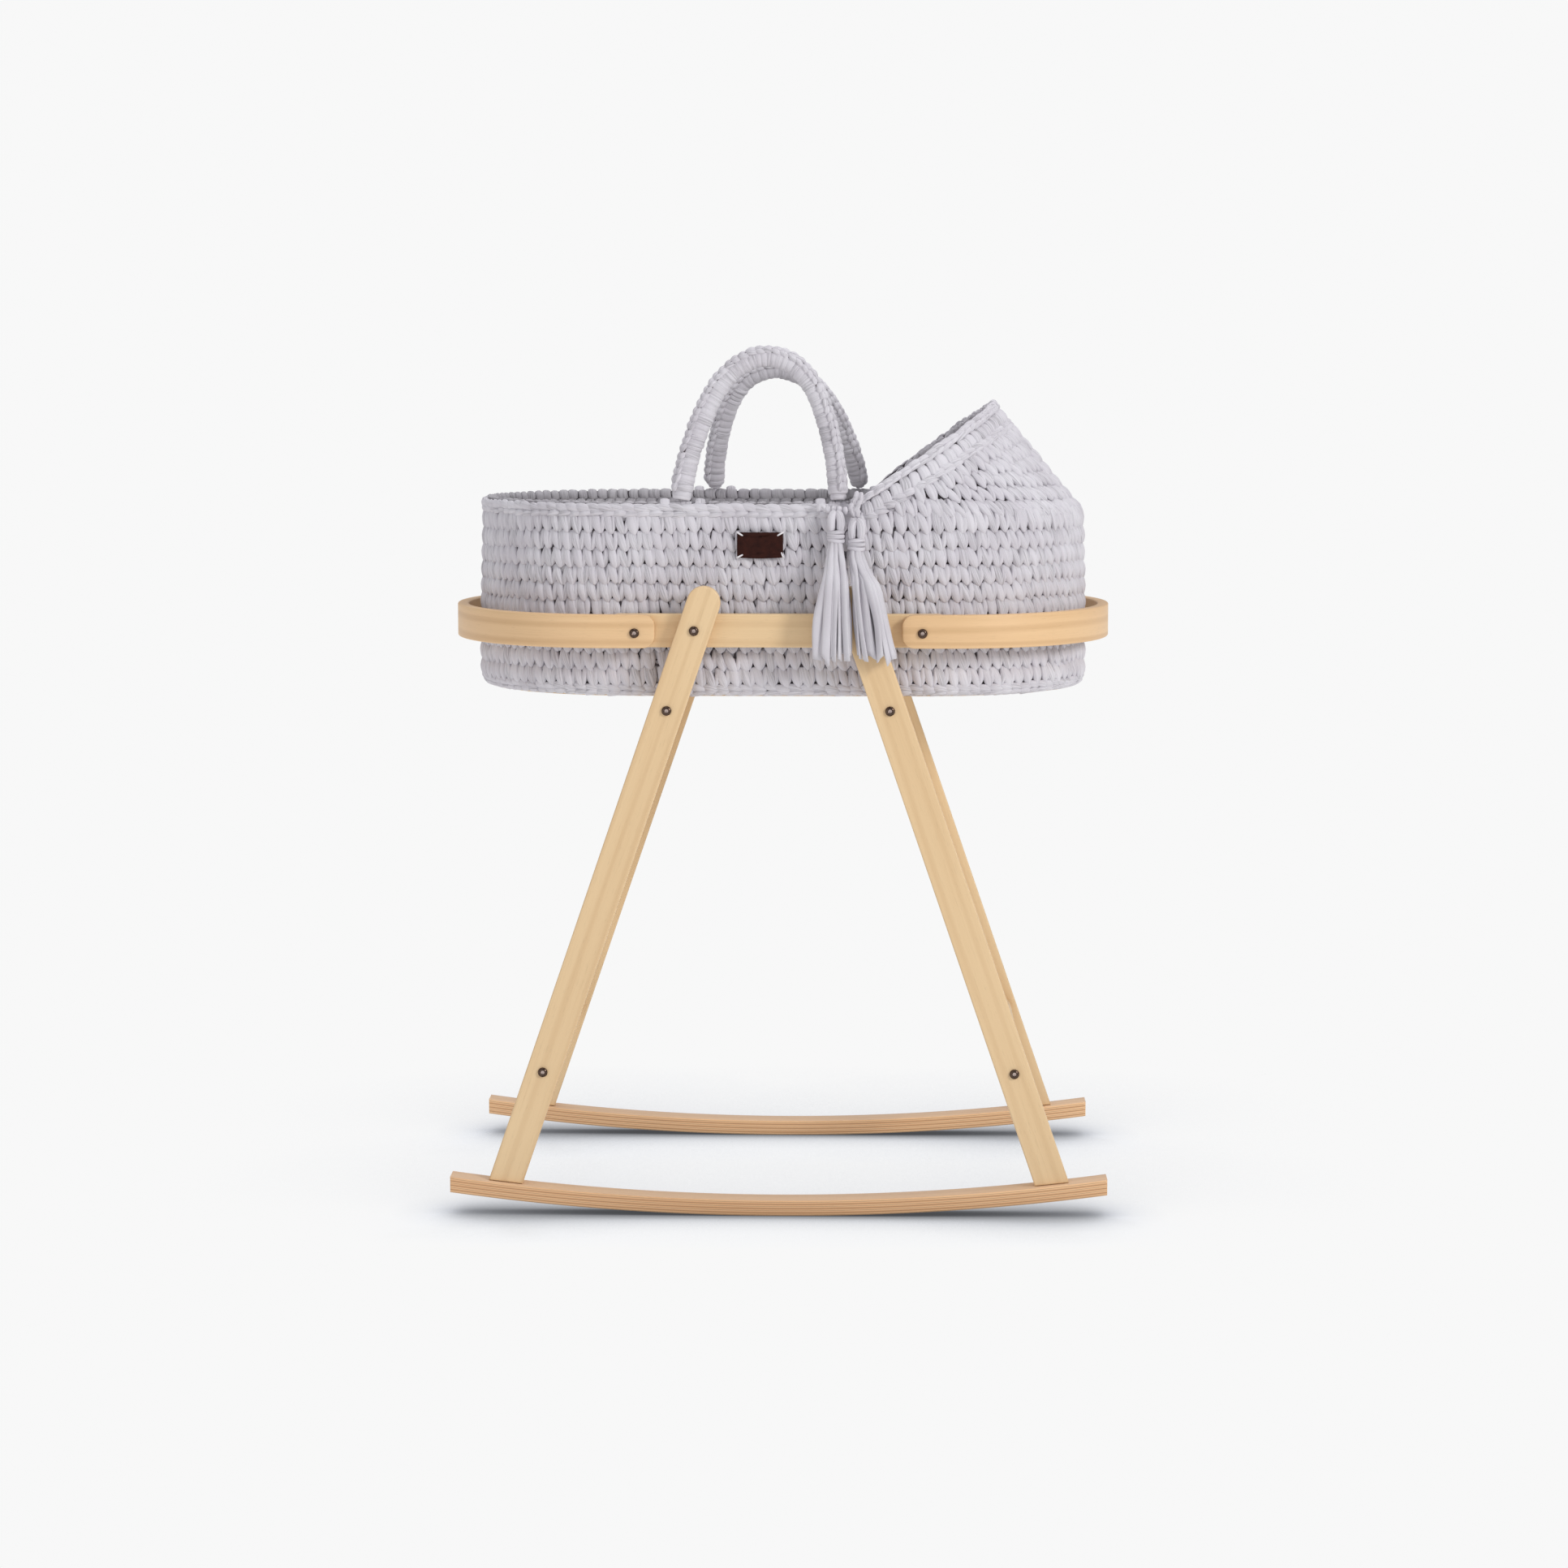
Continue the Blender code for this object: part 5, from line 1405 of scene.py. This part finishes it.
# A bolt's outline: distance from its tip and radius, then distance from the head's underside and share of the
# head's radius
BOLT_TIP = ((0.0, 0.0022), (0.0008, 0.0030))
BOLT_DOME = ((0.0005, 1.0), (0.0012, 1.0), (0.0021, 0.955), (0.0029, 0.83), (0.0034, 0.66))
# Its socket: depth below the head's face and share of the hexagon's size
SOCKET = ((0.0, 1.10), (0.0003, 1.0), (0.0019, 0.98), (0.0021, 0.5))
SOCKET_R = 0.0026
HEAD_H = 0.0035


def bolt(node):
    """A domed head with a hexagonal socket, on its shank."""
    x, z, head_r, y0, y1 = axis_of(node)
    front = y0 + y1 < 0
    out = -1 if front else 1
    tip, face = (y1, y0) if front else (y0, y1)
    base = face - out * HEAD_H
    turn = circle(48)
    hexagon = SOCKET_R * math.cos(PI / 6) / np.cos(np.mod(turn, PI / 3) - PI / 6)
    profile = [(tip + out * rise, r) for rise, r in BOLT_TIP]
    profile += [(base - out * 0.0001, 0.0030), (base, 0.0034), (base, head_r - 0.0004)]
    profile += [(base + out * rise, head_r * share) for rise, share in BOLT_DOME]
    profile += [(face, head_r * 0.56)] + [(face - out * depth, hexagon * grow) for depth, grow in SOCKET]
    rings = lathe(x, z, profile, turn)
    soup = Soup()
    # strand's x places the painted reflection in the middle of the head.
    from_axis = np.hypot(rings[..., 0] - x, rings[..., 2] - z) / head_r
    soup.shell(rings, tube_quads(len(rings), len(turn))[:, ::-out], strand_of(rings, from_axis, 0.0, 0.0))
    made = soup.build(f"{node}_metal", BRONZE, "stand", "bronze_bolt")
    made.data.set_sharp_from_angle(angle=math.radians(42))
    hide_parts(node)


def stand():
    for label, side in (("front", -1), ("rear", 1)):
        rocker(label, side)
        rail(label, side)
        for hand, end in (("left", -1), ("right", 1)):
            leg(label, hand, side, end)
    for level in ("upper", "lower"):
        for hand in ("left", "right"):
            dowel(f"crossbar_{level}_{hand}_dowel", f"crossbar_{level}_{hand}")
    bow("foot", -1)
    bow("head", 1)
    for node in frame["nodes"]:
        if "bolt" in node:
            bolt(node)
        elif "insert" in node or "screw" in node:
            dress(node, ZINC)


def dress(node, material):
    """Give a CAD node that stays in view its finish."""
    made = frame["nodes"][node]
    made.data.materials.clear()
    made.data.materials.append(material)


# ---------------------------------------------------------------- mattress and board

PUFF_FRAMES = 20
PUFF_LIMIT = 0.006
PIPING_R = 0.0016


def mattress():
    """A foam pad in a cotton cover, puffed up by cloth simulation, with piping round both edges."""
    low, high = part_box("mattress")
    middle = np.array((low + high) / 2)
    pad = add_object("mattress_pad", frame["nodes"]["mattress"].data.copy())
    write_points(pad.data, (read_points(pad.data) - middle) * (0.985, 0.975, 0.84) + middle)
    bpy.context.view_layer.objects.active = pad
    remesh = pad.modifiers.new("remesh", "REMESH")
    remesh.mode = "VOXEL"
    remesh.voxel_size = 0.006
    apply_all(pad)
    rest = read_points(pad.data)
    cloth = pad.modifiers.new("cloth", "CLOTH")
    cloth.settings.use_pressure = True
    cloth.settings.uniform_pressure_force = 4.0
    cloth.settings.quality = 6
    cloth.settings.effector_weights.gravity = 0.0
    cloth.point_cache.frame_end = PUFF_FRAMES
    for step in range(1, PUFF_FRAMES + 1):
        bpy.context.scene.frame_set(step)
    apply_all(pad)
    bpy.context.scene.frame_set(1)
    move = read_points(pad.data) - rest
    size = np.linalg.norm(move, axis=1, keepdims=True)
    puffed = rest + move * np.minimum(1, PUFF_LIMIT / np.maximum(size, 1e-9))
    write_points(pad.data, np.clip(puffed, np.array(low) + 0.0002, np.array(high) + (0, 0, PUFF_LIMIT)))
    smooth = pad.modifiers.new("smooth", "SUBSURF")
    smooth.levels = smooth.render_levels = 1
    apply_all(pad)
    pad.data.shade_smooth()
    pad.data.materials.clear()
    pad.data.materials.append(COTTON)
    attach(pad, "mattress")
    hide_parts("mattress")

    piping = Soup()
    u, turn = np.linspace(0, STADIUM, 200, endpoint=False)[:, None], circle(8)[None]
    x, nx, ny = outline(u)
    out = (high.y - low.y) / 2 - 0.0030 + PIPING_R * np.cos(turn)
    for z in (low.z + 0.0075, high.z - 0.0075):
        points = np.stack(np.broadcast_arrays(x + nx * out, ny * out, z + PIPING_R * np.sin(turn)), -1)
        piping.shell(points, tube_quads(200, 8, closed=True))
    made = piping.build("mattress_piping", COTTON, "mattress", "cotton")
    made.parent = pad
    made.matrix_parent_inverse.identity()


def apply_all(obj):
    """Replace obj's mesh by what its modifiers make of it."""
    graph = bpy.context.evaluated_depsgraph_get()
    graph.update()
    made = bpy.data.meshes.new_from_object(obj.evaluated_get(graph))
    obj.modifiers.clear()
    obj.data = made


def base_board():
    node = frame["nodes"]["base_board"]
    grain = node.data.attributes.new("grain", "FLOAT_VECTOR", "POINT")
    values = read_points(node.data) + (9.0, 1.0, 0.0)
    grain.data.foreach_set("vector", values.astype(np.float32).ravel())
    dress("base_board", BIRCH)


# ---------------------------------------------------------------- camera, light and floor

BACKDROP = (0.938, 0.938, 0.938)
# Tilt, reach and (openness, brightness) steps of each soft shade on the floor: close by, then in front of
# each part and behind it, as from a low wide light
SHADES = (
    (0.0, 0.08, ((0.25, 0.24), (0.60, 0.55), (0.90, 0.92))),
    (0.90, 0.17, ((0.45, 0.50), (0.72, 0.77), (0.84, 0.94), (0.90, 1.0))),
    (-0.90, 0.45, ((0.50, 0.58), (0.80, 0.82), (0.91, 0.94), (0.96, 1.0))),
)


def light(name, place, target, size, power, colour=(1, 1, 1)):
    data = bpy.data.lights.new(name, "AREA")
    data.shape = "RECTANGLE"
    data.size = data.size_y = size
    data.energy = power
    data.color = colour
    made = add_object(name, data)
    made.location = place
    made.rotation_euler = (Vector(target) - Vector(place)).to_track_quat("-Z", "Y").to_euler()


def sky():
    """Soft light from all round, with the plain backdrop in the camera's view."""
    world = bpy.data.worlds.new("studio")
    bpy.context.scene.world = world
    world.use_nodes = True
    tree = world.node_tree
    soft = tree.nodes["Background"]
    seen = tree.nodes.new("ShaderNodeBackground")
    for node, colour, strength in ((seen, BACKDROP, 1.0), (soft, (0.95, 0.96, 1.0), 0.48)):
        node.inputs["Color"].default_value = (*colour, 1)
        node.inputs["Strength"].default_value = strength
    path = tree.nodes.new("ShaderNodeLightPath")
    mixer = tree.nodes.new("ShaderNodeMixShader")
    for socket, source in enumerate((path.outputs["Is Camera Ray"], soft.outputs[0], seen.outputs[0])):
        tree.links.new(source, mixer.inputs[socket])
    tree.links.new(mixer.outputs[0], tree.nodes["World Output"].inputs["Surface"])


def floor():
    """A white floor without an edge, shaded by ambient occlusion round the stand's feet."""
    mesh = bpy.data.meshes.new("floor")
    mesh.from_pydata([(-30, -30, 0), (30, -30, 0), (30, 30, 0), (-30, 30, 0)], [], [(0, 1, 2, 3)])
    g = Graph("studio_floor")
    shade = BACKDROP
    for tilt, reach, stops in SHADES:
        around = g.node("ShaderNodeAmbientOcclusion", samples=8, in_Distance=reach)
        toward = g.node("ShaderNodeCombineXYZ", in_X=0.0, in_Y=tilt, in_Z=math.sqrt(1 - tilt ** 2))
        g.link(toward.outputs[0], around.inputs["Normal"])
        stops = [(place, (v, v * 1.01, v * 1.035)) for place, v in stops]
        shade = g.mix("MULTIPLY", 1.0, g.ramp(around.outputs["AO"], *stops, (1.0, (1.0, 1.0, 1.0))), shade)
    glow = g.node("ShaderNodeEmission", in_Strength=1.0)
    g.link(shade, glow.inputs["Color"])
    g.link(glow.outputs[0], g.tree.nodes["Material Output"].inputs["Surface"])
    g.tree.nodes.remove(g.shader)
    mesh.materials.append(g.material)
    add_object("floor", mesh)


def studio():
    camera = add_object("camera", bpy.data.cameras.new("camera"))
    camera.data.sensor_width = 36
    camera.data.lens = 89.44
    camera.location = (0.110, -4.8405, 1.049)
    camera.rotation_euler = (PI / 2 - 0.114, 0, 0.0224)
    scene = bpy.context.scene
    scene.camera = camera
    sky()
    light("key", (2.8, -2.7, 2.2), (0, 0, 0.6), 0.9, 68, (1.0, 0.99, 0.985))
    light("fill", (-2.2, -3.0, 1.4), (0, 0, 0.7), 2.0, 12, (1.0, 0.95, 0.96))
    light("top", (0.0, 0.3, 3.4), (0, 0, 0.5), 2.4, 34)
    floor()
    scene.view_settings.view_transform = "Standard"
    scene.view_settings.look = "None"
    scene.view_settings.exposure = 0.0


# ---------------------------------------------------------------- build

stand()
wall_backing()
wall_rows()
bottom_chain()
rim()
hood()
for handle_label, handle_spec in HANDLES.items():
    handle(handle_label, handle_spec)
handle_roots()
for tassel_label, tassel_spec in TASSELS.items():
    tassel(tassel_label, tassel_spec)
tie()
tag()
mattress()
base_board()
studio()
